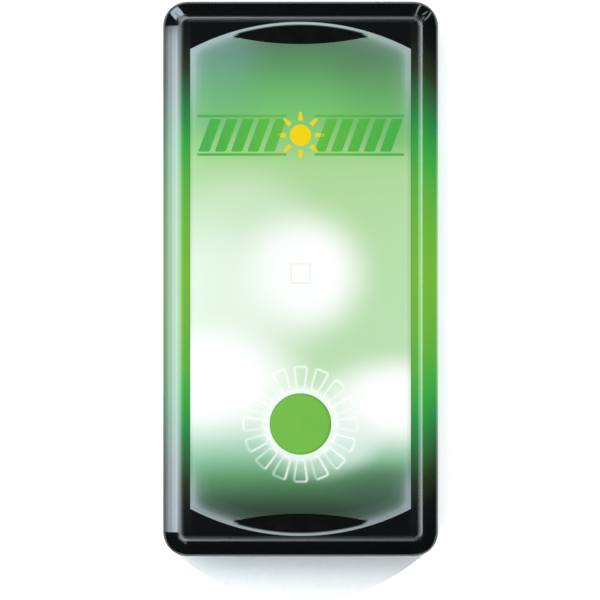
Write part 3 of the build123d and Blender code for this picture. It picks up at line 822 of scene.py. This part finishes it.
# ------------------------------------------------------------------ print
class MARKERLIGHT_OT_print(bpy.types.Operator):
    """Print the slanted stripes and the small sun on the lens"""

    bl_idname = "marker_light.print"
    bl_label = "Print Lens"

    def execute(self, context):
        settings = context.scene.marker_light
        self.stripes(settings)
        self.sun(settings)
        return {"FINISHED"}

    def stripes(self, settings):
        """Slanted bars on both sides of the sun, with a thin rule above and below them."""
        deselect()
        bpy.ops.mesh.primitive_plane_add(size=1, location=(0, settings.print_y, LENS_HIGH.z))
        first = sized(bpy.context.object, (settings.stripe_width, settings.stripe_height, 1))
        bpy.ops.object.mode_set(mode="EDIT")
        pick(first, "verts", lambda v: v.co.y > settings.print_y)
        bpy.ops.transform.translate(value=(settings.stripe_lean / 2, 0, 0))
        pick(first, "verts", lambda v: v.co.y < settings.print_y)
        bpy.ops.transform.translate(value=(-settings.stripe_lean / 2, 0, 0))
        bpy.ops.mesh.select_all(action="SELECT")
        bpy.ops.mesh.bevel(affect="VERTICES", offset=0.12 * MM, segments=3)
        bpy.ops.mesh.select_all(action="SELECT")
        bpy.ops.mesh.bisect(plane_co=(0, settings.print_y, 0), plane_no=(0, 1, 0))
        bpy.ops.object.mode_set(mode="OBJECT")
        outer = settings.stripe_pitch * (settings.stripe_count - 1)
        inner_x = STRIPES_END - settings.stripe_lean / 2 - settings.stripe_width / 2 - outer
        places = [
            side * (inner_x + i * settings.stripe_pitch)
            for side in (-1, 1)
            for i in range(settings.stripe_count)
        ]
        bars = [first]
        for x in places[1:]:
            bar = first.copy()
            bar.data = first.data.copy()
            bar.location.x = x
            context_collection().objects.link(bar)
            bars.append(bar)
        first.location.x = places[0]
        end = RULES_END
        start = inner_x - settings.stripe_width / 2 - settings.stripe_lean / 2
        for side in (-1, 1):
            for level in (-1, 1):
                bpy.ops.mesh.primitive_plane_add(
                    size=1,
                    location=(
                        side * (start + end) / 2,
                        settings.print_y + level * (settings.stripe_height / 2 + 0.27 * MM),
                        LENS_HIGH.z
                    )
                )
                rule = sized(bpy.context.object, (end - start, 0.22 * MM, 1))
                bpy.ops.object.mode_set(mode="EDIT")
                for i in range(1, 8):
                    bpy.ops.mesh.select_all(action="SELECT")
                    x = side * (start + (end - start) * i / 8)
                    bpy.ops.mesh.bisect(plane_co=(x, 0, 0), plane_no=(1, 0, 0))
                bpy.ops.object.mode_set(mode="OBJECT")
                bars.append(rule)
        stripes = join(bars)
        self.lay_on_lens(stripes, settings)
        finish_piece(stripes, "printed_stripes", self.stripe_ink(settings), "housing")

    def sun(self, settings):
        """A disc and eight tapered rays."""
        centre = (0, settings.print_y, LENS_HIGH.z)
        deselect()
        bpy.ops.mesh.primitive_circle_add(
            vertices=48, radius=0.98 * MM, fill_type="NGON", location=centre
        )
        disc = bpy.context.object
        bpy.ops.mesh.primitive_plane_add(size=1, location=centre)
        ray = bpy.context.object
        bpy.ops.object.mode_set(mode="EDIT")
        bpy.ops.mesh.select_all(action="SELECT")
        bpy.ops.transform.resize(value=(0.42 * MM, 0.8 * MM, 1), center_override=centre)
        bpy.ops.transform.translate(value=(0, 1.75 * MM, 0))
        pick(ray, "verts", lambda v: v.co.y > 1.75 * MM)
        bpy.ops.transform.resize(value=(0.55, 1, 1), center_override=centre)
        bpy.ops.mesh.select_all(action="SELECT")
        bpy.ops.mesh.bevel(affect="VERTICES", offset=0.06 * MM, segments=2)
        bpy.ops.object.mode_set(mode="OBJECT")
        parts = [disc, ray]
        for i in range(1, 8):
            turned = ray.copy()
            turned.data = ray.data.copy()
            turned.rotation_euler.z = i * math.pi / 4
            context_collection().objects.link(turned)
            parts.append(turned)
        sun = join(parts)
        self.lay_on_lens(sun, settings)
        finish_piece(sun, "printed_sun", self.sun_ink(settings), "housing")

    def lay_on_lens(self, ink, settings):
        """Drops flat ink on the crowned lens and gives it its thickness."""
        select_only(ink)
        bpy.ops.object.mode_set(mode="EDIT")
        bpy.ops.mesh.select_all(action="SELECT")
        bpy.ops.mesh.quads_convert_to_tris()
        bpy.ops.mesh.select_all(action="SELECT")
        bpy.ops.mesh.subdivide(number_cuts=1)
        bpy.ops.mesh.normals_make_consistent(inside=False)
        bpy.ops.object.mode_set(mode="OBJECT")
        apply_modifier(
            ink, "SHRINKWRAP", target=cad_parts["diffuser_lens"], wrap_method="PROJECT",
            use_project_z=True, use_negative_direction=True, use_positive_direction=True,
            offset=0.002 * MM
        )
        apply_modifier(ink, "SOLIDIFY", thickness=settings.ink_thickness, offset=1.0)

    def stripe_ink(self, settings):
        # Screen-printed translucent ink: level green, with painted light making it a shade lighter
        # over the lens's brighter middle.
        material, tree, shader, place = new_material("green_screen_ink", 0.14, 1.45)
        split = add_node(tree, "ShaderNodeSeparateXYZ", {"Vector": place})
        away = add_node(tree, "ShaderNodeMath", {0: split.outputs["X"]}, operation="ABSOLUTE")
        share = add_node(
            tree, "ShaderNodeMapRange", {"Value": away, "From Min": 9.5 * MM, "From Max": 2.0 * MM}
        )
        shade = add_node(
            tree, "ShaderNodeMix", {0: share, 6: settings.print_colour, 7: linear("62B944")},
            data_type="RGBA"
        )
        glow_through(tree, shader, shade, 0.74)
        emboss(tree, shader, place, 0.12 * MM, 0.003 * MM, 0.5)
        return material

    def sun_ink(self, settings):
        # Screen-printed translucent ink: a clear warm yellow, with the speckle of its mesh.
        material, tree, shader, place = new_material("yellow_screen_ink", 0.14, 1.45)
        noise = add_node(
            tree, "ShaderNodeTexNoise",
            {"Vector": place, "Scale": per_metre(0.3 * MM), "Detail": 2.0}
        )
        shade = add_node(
            tree, "ShaderNodeMix", {0: noise, 6: linear("EFD00C"), 7: settings.sun_colour},
            data_type="RGBA"
        )
        glow_through(tree, shader, shade, 0.74)
        emboss(tree, shader, place, 0.12 * MM, 0.003 * MM, 0.5)
        return material


# ------------------------------------------------------------------ adhesive back
class MARKERLIGHT_OT_liner(bpy.types.Operator):
    """Cut the release liner with its pull tab"""

    bl_idname = "marker_light.liner"
    bl_label = "Cut Liner"

    def execute(self, context):
        settings = context.scene.marker_light
        half, top, tip = LINER_HIGH.x, LINER_HIGH.y, LINER_LOW.y
        root = -top
        level, thickness = LINER_HIGH.z, LINER_HIGH.z - LINER_LOW.z
        deselect()
        bpy.ops.mesh.primitive_plane_add(size=1, location=(0, (top + root) / 2, level))
        sheet = sized(bpy.context.object, (2 * half, top - root, 1))
        bpy.ops.object.mode_set(mode="EDIT")
        pick(sheet, "verts", lambda v: v.co.y > 0)
        bpy.ops.mesh.bevel(affect="VERTICES", offset=2 * MM, segments=10)
        bpy.ops.object.mode_set(mode="OBJECT")
        rise = root - tip
        radius = (half**2 + rise**2) / (2 * rise)
        bpy.ops.mesh.primitive_circle_add(
            vertices=720, radius=radius, fill_type="NGON", location=(0, tip + radius, level)
        )
        tab = bpy.context.object
        bpy.ops.object.transform_apply(location=True, rotation=False, scale=False)
        bpy.ops.object.mode_set(mode="EDIT")
        bpy.ops.mesh.select_all(action="SELECT")
        bpy.ops.mesh.bisect(plane_co=(0, root, level), plane_no=(0, 1, 0), clear_outer=True)
        bpy.ops.object.mode_set(mode="OBJECT")
        sheet = join([sheet, tab])
        bpy.ops.object.mode_set(mode="EDIT")
        bpy.ops.mesh.select_all(action="SELECT")
        bpy.ops.mesh.remove_doubles(threshold=0.02 * MM)
        bpy.ops.mesh.normals_make_consistent(inside=False)
        steps = 12
        lines = [root - 0.9 * MM - i * (rise - 1.3 * MM) / steps for i in range(steps)]
        for y in lines:
            bpy.ops.mesh.select_all(action="SELECT")
            bpy.ops.mesh.bisect(plane_co=(0, y, level), plane_no=(0, 1, 0))
        for y in reversed(lines):
            pick(sheet, "verts", lambda v: v.co.y < y - 0.001 * MM)
            bpy.ops.transform.rotate(
                value=settings.tab_curl / steps, orient_axis="X", center_override=(0, y, level)
            )
        bpy.ops.object.mode_set(mode="OBJECT")
        if min(v.co.z for v in sheet.data.vertices) < level - 0.01 * MM:
            raise RuntimeError("the pull tab curls down into the floor")
        if sum(p.normal.z for p in sheet.data.polygons) < 0:
            sheet.data.flip_normals()
        apply_modifier(sheet, "SOLIDIFY", thickness=thickness, offset=-1.0)
        finish_piece(sheet, "release_liner_sheet", self.paper(), "liner")
        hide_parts("release_liner")
        return {"FINISHED"}

    def paper(self):
        # Paper, calendered and siliconised: a cool white sheet with a faint cloud of fibres.
        material, tree, shader, place = new_material("siliconised_paper", 0.7, 1.48)
        clouds = add_node(
            tree, "ShaderNodeTexNoise",
            {"Vector": place, "Scale": per_metre(0.6 * MM), "Detail": 6.0}
        )
        split = add_node(tree, "ShaderNodeSeparateXYZ", {"Vector": place})
        along = add_node(
            tree, "ShaderNodeMapRange",
            {
                "Value": split.outputs["Y"], "From Min": BEZEL_LOW.y,
                "From Max": LINER_LOW.y + 0.3 * MM
            }
        )
        # Painted shading along the tab: darkest across its middle, warmer at its tip, over cool
        # white paper.
        ramp = add_node(tree, "ShaderNodeValToRGB", {"Fac": along})
        set_ramp(
            ramp,
            [
                (0.08, "EEEFEE"), (0.31, "E5E4E2"), (0.52, "E4E1DF"), (0.74, "E7E2DF"),
                (0.9, "ECE6E3")
            ]
        )
        fibres = add_node(
            tree, "ShaderNodeMix",
            {0: clouds, 6: linear("F2F4F5"), 7: linear("FFFFFF")}, data_type="RGBA"
        )
        painted_shading = add_node(
            tree, "ShaderNodeMix", {0: 1.0, 6: ramp, 7: fibres},
            data_type="RGBA", blend_type="MULTIPLY"
        )
        set_inputs(shader, {"Base Color": painted_shading})
        emboss(tree, shader, place, 0.35 * MM, 0.002 * MM, 0.5, (1, 0.35, 1), 6.0)
        return material


class MARKERLIGHT_OT_foam(bpy.types.Operator):
    """Cut the foam tape that holds the light on"""

    bl_idname = "marker_light.foam"
    bl_label = "Cut Foam Tape"

    def execute(self, context):
        middle = (FOAM_LOW + FOAM_HIGH) / 2
        size = FOAM_HIGH - FOAM_LOW
        deselect()
        bpy.ops.mesh.primitive_cube_add(size=1, location=middle)
        foam = sized(bpy.context.object, size)
        bpy.ops.object.mode_set(mode="EDIT")
        pick(foam, "edges", lambda e: abs(e.verts[0].co.z - e.verts[1].co.z) > size.z / 2)
        bpy.ops.mesh.bevel(offset=1.8 * MM, segments=10)
        waist = 0.09 * MM
        for share, pulled in ((0.06, 0.3), (0.25, 0.8), (0.5, 1.0), (0.75, 0.8), (0.94, 0.3)):
            level = FOAM_LOW.z + share * size.z
            bpy.ops.mesh.select_all(action="SELECT")
            bpy.ops.mesh.bisect(plane_co=(0, 0, level), plane_no=(0, 0, 1))
            pick(foam, "verts", lambda v: abs(v.co.z - level) < 0.005 * MM)
            bpy.ops.transform.resize(
                value=(1 - 2 * waist * pulled / size.x, 1 - 2 * waist * pulled / size.y, 1),
                center_override=(middle.x, middle.y, level)
            )
        bpy.ops.object.mode_set(mode="OBJECT")
        finish_piece(foam, "foam_tape", self.foam(), "housing", math.radians(50))
        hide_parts("foam_pad")
        return {"FINISHED"}

    def foam(self):
        # Acrylic foam tape, grey, die-cut: matt closed cells 0.2 mm across, cut open at the edge.
        material, tree, shader, place = new_material("acrylic_foam_tape", 0.9, 1.47)
        cells = add_node(
            tree, "ShaderNodeTexVoronoi", {"Vector": place, "Scale": per_metre(0.2 * MM)}
        )
        ramp = add_node(tree, "ShaderNodeValToRGB", {"Fac": cells})
        set_ramp(ramp, [(0.1, "55595B"), (0.6, "7C8183")])
        set_inputs(shader, {"Base Color": ramp})
        bump = add_node(
            tree, "ShaderNodeBump", {"Height": cells, "Distance": 0.05 * MM, "Strength": 0.8}
        )
        set_inputs(shader, {"Normal": bump})
        return material


# ------------------------------------------------------------------ inside
class MARKERLIGHT_OT_board(bpy.types.Operator):
    """Finish the circuit board, its light, its chips and the film under it"""

    bl_idname = "marker_light.board"
    bl_label = "Finish Board"

    def execute(self, context):
        finish_nodes(self.solder_mask(), "circuit_board")
        finish_nodes(self.reflector(), "reflector_tray")
        finish_nodes(self.film(), "insulating_film")
        finish_nodes(self.tinned(), "led_pads", "chip_leads", "plated_ends", "switch_terminals")
        finish_nodes(self.led_plastic(), "led_cup")
        finish_nodes(self.led_crystal(), "led_die")
        finish_nodes(self.led_resin(), "led_filling")
        finish_nodes(self.epoxy(), "flasher_chip")
        finish_nodes(self.alumina(), "chip_resistors")
        finish_nodes(self.capacitor(), "chip_capacitor")
        return {"FINISHED"}

    def solder_mask(self):
        # Glass-epoxy laminate under green solder mask: glossy, with its 0.4 mm glass weave just
        # showing and copper tracks paler beneath the mask.
        material, tree, shader, place = new_material("glass_epoxy_green_mask", 0.25, 1.55)
        tracks = add_node(
            tree, "ShaderNodeTexBrick",
            {
                "Vector": place, "Color1": linear("0B5A33"), "Color2": linear("0E6238"),
                "Mortar": linear("2B8A58"), "Scale": per_metre(6 * MM), "Mortar Size": 0.03,
                "Brick Width": 0.9, "Row Height": 0.35
            }
        )
        set_inputs(shader, {"Base Color": tracks})
        across = add_node(
            tree, "ShaderNodeTexWave", {"Vector": place, "Scale": per_metre(0.4 * MM) / 6.28},
            bands_direction="X"
        )
        along = add_node(
            tree, "ShaderNodeTexWave", {"Vector": place, "Scale": per_metre(0.4 * MM) / 6.28},
            bands_direction="Y"
        )
        weave = add_node(
            tree, "ShaderNodeMath", {0: across.outputs["Fac"], 1: along.outputs["Fac"]},
            operation="MULTIPLY"
        )
        bump = add_node(
            tree, "ShaderNodeBump", {"Height": weave, "Distance": 0.01 * MM, "Strength": 0.5}
        )
        set_inputs(shader, {"Normal": bump})
        return material

    def reflector(self):
        # PBT, bright white, moulded: matt and very even, so that it throws the light forward.
        return plain(
            "white_pbt_moulded", 0.5, 1.55, ("EDEEEA", "F4F5F2"), 1.0 * MM,
            relief=(0.15 * MM, 0.005 * MM)
        )

    def film(self):
        # Polyimide film: clear amber with a smooth sheen and slight waves.
        return plain(
            "polyimide_film", 0.2, 1.7, ("A85F12", "BC7018"), 2.0 * MM, relief=(4 * MM, 0.02 * MM)
        )

    def tinned(self):
        # Copper alloy, tin-plated: soft grey metal, slightly clouded where the solder ran.
        return plain(
            "tinned_copper", 0.3, 1.5, ("B9BBBC", "CDCFD0"), 0.3 * MM, wander=(0.4 * MM, 0.22, 0.4),
            metallic=1.0
        )

    def led_plastic(self):
        # PPA, white, moulded: the reflecting cup of the lamp.
        return plain("white_ppa_cup", 0.4, 1.6, ("F0F0EC", "F8F8F5"), 0.4 * MM)

    def led_crystal(self):
        # Gallium nitride die on sapphire, lit: the brightest green in the light.
        return plain(
            "led_die_lit", 0.2, 2.3, ("A9C9A0", "C2DDB8"), 0.1 * MM,
            inputs={"Emission Color": linear("8CFF6E"), "Emission Strength": 3.0}
        )

    def led_resin(self):
        # Silicone resin over the die: clear, with a green cast from the light in it.
        return plain(
            "clear_silicone_filling", 0.08, 1.41, ("BFE8B0", "CDF0C0"), 0.5 * MM,
            inputs={
                "Transmission Weight": 0.6, "Emission Color": linear("8CE86A"),
                "Emission Strength": 0.6
            }
        )

    def epoxy(self):
        # Epoxy moulding compound, black and filled with silica: matt charcoal with a fine sparkle.
        return plain(
            "epoxy_moulding_compound", 0.6, 1.55, ("17181A", "26282A"), 0.08 * MM,
            relief=(0.06 * MM, 0.006 * MM)
        )

    def alumina(self):
        # Thick-film resistor: a glossy black glaze over white alumina, slightly mottled.
        return plain("thick_film_glaze", 0.22, 1.6, ("141415", "222224"), 0.2 * MM)

    def capacitor(self):
        # Barium titanate ceramic, sintered: dull tan with a fine grain.
        return plain(
            "tan_capacitor_ceramic", 0.45, 1.7, ("8A6A4A", "A07E5B"), 0.1 * MM,
            relief=(0.08 * MM, 0.004 * MM)
        )


class MARKERLIGHT_OT_switch(bpy.types.Operator):
    """Finish the tactile switch and press its snap dome"""

    bl_idname = "marker_light.switch"
    bl_label = "Finish Switch"

    def execute(self, context):
        finish_nodes(self.crystal_polymer(), "switch_base", "switch_plunger")
        finish_nodes(self.rolled_steel(), "switch_cover")
        self.dome()
        return {"FINISHED"}

    def dome(self):
        """A shallow cap of sheet steel."""
        radius = DOME_HIGH.x
        height = DOME_HIGH.z - DOME_LOW.z
        sheet = 0.06 * MM
        curve = (radius**2 + height**2) / (2 * height)
        rings = [radius * (1 - i / 10) for i in range(10)] + [0.03 * MM]
        section = [(r, math.sqrt(curve**2 - r**2) - (curve - height)) for r in rings]
        dome = lathe(section, (0, BUTTON_Y, DOME_LOW.z), 64)
        bpy.ops.mesh.edge_face_add()
        bpy.ops.mesh.select_all(action="SELECT")
        bpy.ops.mesh.normals_make_consistent(inside=False)
        bpy.ops.object.mode_set(mode="OBJECT")
        if sum(p.normal.z for p in dome.data.polygons) < 0:
            dome.data.flip_normals()
        apply_modifier(dome, "SOLIDIFY", thickness=sheet, offset=-1.0, use_quality_normals=True)
        finish_piece(dome, "switch_snap_dome", self.spring_steel(), "housing")
        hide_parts("switch_dome")
        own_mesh(dome)

    def crystal_polymer(self):
        # Liquid-crystal polymer, black, moulded: matt, with flow lines along the mould.
        return plain(
            "black_liquid_crystal_polymer", 0.5, 1.6, ("131415", "1E2021"), 0.25 * MM,
            relief=(0.1 * MM, 0.004 * MM, 1.0, (1, 0.2, 1))
        )

    def rolled_steel(self):
        # Stainless steel, cold-rolled: bright, with fine lines along the rolling direction.
        return plain(
            "stainless_cold_rolled", 0.25, 1.5, ("B4B6B8", "C4C6C8"), 0.8 * MM,
            relief=(0.05 * MM, 0.002 * MM, 0.6, (1, 0.05, 1)), metallic=1.0
        )

    def spring_steel(self):
        # Stainless spring steel, stamped and polished: mirror-like with faint wear at its crown.
        return plain(
            "spring_steel_polished", 0.12, 1.5, ("C2C2BF", "D0D0CD"), 0.6 * MM,
            wander=(0.5 * MM, 0.08, 0.2), metallic=1.0
        )


class MARKERLIGHT_OT_cells(bpy.types.Operator):
    """Finish the coin cells, the strip between them and their contacts"""

    bl_idname = "marker_light.cells"
    bl_label = "Finish Cells"

    def execute(self, context):
        steel = self.plated_steel()
        for name in ("upper", "lower"):
            finish_nodes(steel, f"{name}_cell_can", f"{name}_cell_cap")
            finish_nodes(self.grommet(), f"{name}_cell_grommet")
            finish_nodes(self.pellet(), f"{name}_cell_pellets")
        finish_nodes(self.nickel_strip(), "cell_link", "upper_contact", "lower_contact")
        return {"FINISHED"}

    def plated_steel(self):
        # Stainless steel, deep-drawn and nickel-plated: bright, with fine scratches from handling.
        return plain(
            "nickel_plated_steel_drawn", 0.2, 1.5, ("C3C1BC", "D2D0CB"), 2.0 * MM,
            relief=(0.2 * MM, 0.002 * MM, 0.5, (1, 0.1, 1)), wander=(1.5 * MM, 0.14, 0.3),
            metallic=1.0
        )

    def grommet(self):
        # Polypropylene, moulded: a dull translucent grey seal between can and cap.
        return plain("polypropylene_grommet", 0.5, 1.49, ("6E7376", "7F8588"), 0.5 * MM)

    def pellet(self):
        # Pressed manganese dioxide and lithium: matt near-black powder with a coarse grain.
        return plain(
            "pressed_powder_pellet", 0.85, 1.6, ("1A1A1B", "2E2E30"), 0.15 * MM,
            relief=(0.1 * MM, 0.02 * MM)
        )

    def nickel_strip(self):
        # Nickel strip, slit and stamped: warm pale metal with lines along its length.
        return plain(
            "nickel_strip_stamped", 0.3, 1.5, ("C6C0B4", "D3CDC1"), 0.7 * MM,
            relief=(0.06 * MM, 0.002 * MM, 0.6, (1, 0.05, 1)), metallic=1.0
        )


# ------------------------------------------------------------------ studio
# The colours of the softboxes' faces.
DAYLIGHT = "F4F9FB"
SKYLIGHT = "E2F1F8"

# Softboxes: name, compass angle (0 is +X, 90 is +Y), height above the floor in degrees, distance,
# width and height in metres, brightness of their face, and its colour.
SOFTBOXES = [
    ("softbox_upper_left", 125, 62, 0.62, 0.26, 0.26, 4.5, DAYLIGHT),
    ("softbox_lower_left", 235, 62, 0.62, 0.26, 0.26, 4.5, DAYLIGHT),
    ("softbox_right", 0, 72, 0.62, 0.34, 0.19, 6.5, DAYLIGHT),
    ("softbox_upper", 90, 70, 0.62, 0.24, 0.2, 1.7, SKYLIGHT),
    ("softbox_lower", 270, 70, 0.62, 0.24, 0.2, 1.6, SKYLIGHT),
    ("softbox_corner", 125, 32, 0.14, 0.045, 0.05, 5.0, SKYLIGHT),
    ("tube_upper", 72, 40, 0.14, 0.01, 0.14, 2.5, SKYLIGHT),
    ("tube_right", 45, 40, 0.14, 0.01, 0.14, 2.5, SKYLIGHT),
]

# Long softboxes in tiers on the left, which the bevelled side of the case mirrors: height above
# the floor in degrees, brightness, and the height of their face in metres.
LEFT_STRIPS = [
    (14, 1.8, 0.02), (22, 2.4, 0.02), (30, 4.0, 0.02), (38, 5.8, 0.02), (46, 7.4, 0.02),
    (54, 7.8, 0.02), (63, 6.8, 0.025), (74, 5.2, 0.028)
]
STRIP_DISTANCE, STRIP_WIDTH, STRIP_Y = 0.14, 0.064, -0.5 * MM


class MARKERLIGHT_OT_stage(bpy.types.Operator):
    """Lay the floor, hang the softboxes and set the camera"""

    bl_idname = "marker_light.stage"
    bl_label = "Build Studio"

    def execute(self, context):
        settings = context.scene.marker_light
        self.floor()
        for softbox in SOFTBOXES:
            self.softbox(*softbox)
        for number, (height, brightness, depth) in enumerate(LEFT_STRIPS, 1):
            tilt = math.radians(height)
            place = Vector(
                (-STRIP_DISTANCE * math.cos(tilt), STRIP_Y, STRIP_DISTANCE * math.sin(tilt))
            )
            self.light(f"strip_left_{number}", place, STRIP_WIDTH, depth, brightness, SKYLIGHT)
        self.world(context.scene)
        self.camera(context.scene, settings)
        context.scene.view_settings.view_transform = "Standard"
        return {"FINISHED"}

    def floor(self):
        """A pale sheet just under the liner."""
        bpy.ops.mesh.primitive_plane_add(size=6, location=(0, 0, -0.01 * MM))
        floor = bpy.context.object
        floor.name = "studio_floor"
        # Opal acrylic, sanded and lit faintly from below: an even pale matt surface.
        material = plain(
            "opal_acrylic_sanded", 0.9, 1.45, ("F0F1F1", "F4F5F5"), 40 * MM,
            inputs={
                "Emission Color": linear("FFFFFF"), "Emission Strength": 0.48,
                "Specular IOR Level": 0.2
            }
        )
        floor.data.materials.append(material)

    def softbox(self, name, compass, height, distance, *face):
        """A softbox hung by its compass angle, its height and its distance."""
        turn, tilt = math.radians(compass), math.radians(height)
        out = Vector(
            (math.cos(turn) * math.cos(tilt), math.sin(turn) * math.cos(tilt), math.sin(tilt))
        )
        self.light(name, out * distance, *face)

    def light(self, name, location, width, depth, brightness, colour):
        """A softbox that faces the light, its brightness the radiance of its face."""
        data = bpy.data.lights.new(name, "AREA")
        data.shape = "RECTANGLE"
        data.size = width
        data.size_y = depth
        data.energy = brightness * math.pi * width * depth
        data.color = linear(colour)[:3]
        lamp = bpy.data.objects.new(name, data)
        context_collection().objects.link(lamp)
        lamp.location = location
        target = Vector((0, 0, BEZEL_HIGH.z))
        lamp.rotation_euler = (target - location).to_track_quat("-Z", "Y").to_euler()
        lamp.visible_camera = False

    def world(self, scene):
        """A dim room whose walls are pale near the floor."""
        world = bpy.data.worlds.new("studio_room")
        world.use_nodes = True
        tree = world.node_tree
        direction = add_node(tree, "ShaderNodeTexCoord").outputs["Generated"]
        split = add_node(tree, "ShaderNodeSeparateXYZ", {"Vector": direction})
        ramp = add_node(tree, "ShaderNodeValToRGB", {"Fac": split.outputs["Z"]})
        set_ramp(ramp, [(0.0, "F2F4F4"), (0.10, "F2F4F4"), (0.2, "141616")], "EASE")
        set_inputs(tree.nodes["Background"], {"Color": ramp})
        scene.world = world

    def camera(self, scene, settings):
        """A long lens straight over the light's face."""
        data = bpy.data.cameras.new("camera")
        data.type = "PERSP"
        data.sensor_width = 36
        data.lens = settings.lens_length
        distance = settings.view_width * settings.lens_length / data.sensor_width
        camera = bpy.data.objects.new("camera", data)
        context_collection().objects.link(camera)
        camera.location = (-0.05 * MM, -1.94 * MM, BEZEL_HIGH.z + distance)
        scene.camera = camera


class MARKERLIGHT_PT_panel(bpy.types.Panel):
    """The steps that finish the marker light"""

    bl_idname = "MARKERLIGHT_PT_panel"
    bl_label = "Marker Light"
    bl_space_type = "VIEW_3D"
    bl_region_type = "UI"
    bl_category = "Marker Light"

    def draw(self, context):
        settings = context.scene.marker_light
        sizes = self.layout.column(align=True)
        for name in MarkerLightSettings.__annotations__:
            sizes.prop(settings, name)
        steps = self.layout.column(align=True)
        for operator in OPERATORS:
            steps.operator(operator.bl_idname)


OPERATORS = (
    MARKERLIGHT_OT_case,
    MARKERLIGHT_OT_lens,
    MARKERLIGHT_OT_print,
    MARKERLIGHT_OT_button,
    MARKERLIGHT_OT_liner,
    MARKERLIGHT_OT_foam,
    MARKERLIGHT_OT_board,
    MARKERLIGHT_OT_switch,
    MARKERLIGHT_OT_cells,
    MARKERLIGHT_OT_stage,
)
CLASSES = (MarkerLightSettings, *OPERATORS, MARKERLIGHT_PT_panel)


def register():
    for cls in CLASSES:
        bpy.utils.register_class(cls)
    bpy.types.Scene.marker_light = PointerProperty(type=MarkerLightSettings)


def unregister():
    del bpy.types.Scene.marker_light
    for cls in reversed(CLASSES):
        bpy.utils.unregister_class(cls)


def main():
    """Registers the add-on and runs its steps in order."""
    register()
    deselect()
    bpy.ops.marker_light.case()
    bpy.ops.marker_light.lens()
    bpy.ops.marker_light.print()
    bpy.ops.marker_light.button()
    bpy.ops.marker_light.liner()
    bpy.ops.marker_light.foam()
    bpy.ops.marker_light.board()
    bpy.ops.marker_light.switch()
    bpy.ops.marker_light.cells()
    bpy.ops.marker_light.stage()


if __name__ == "__main__":
    main()
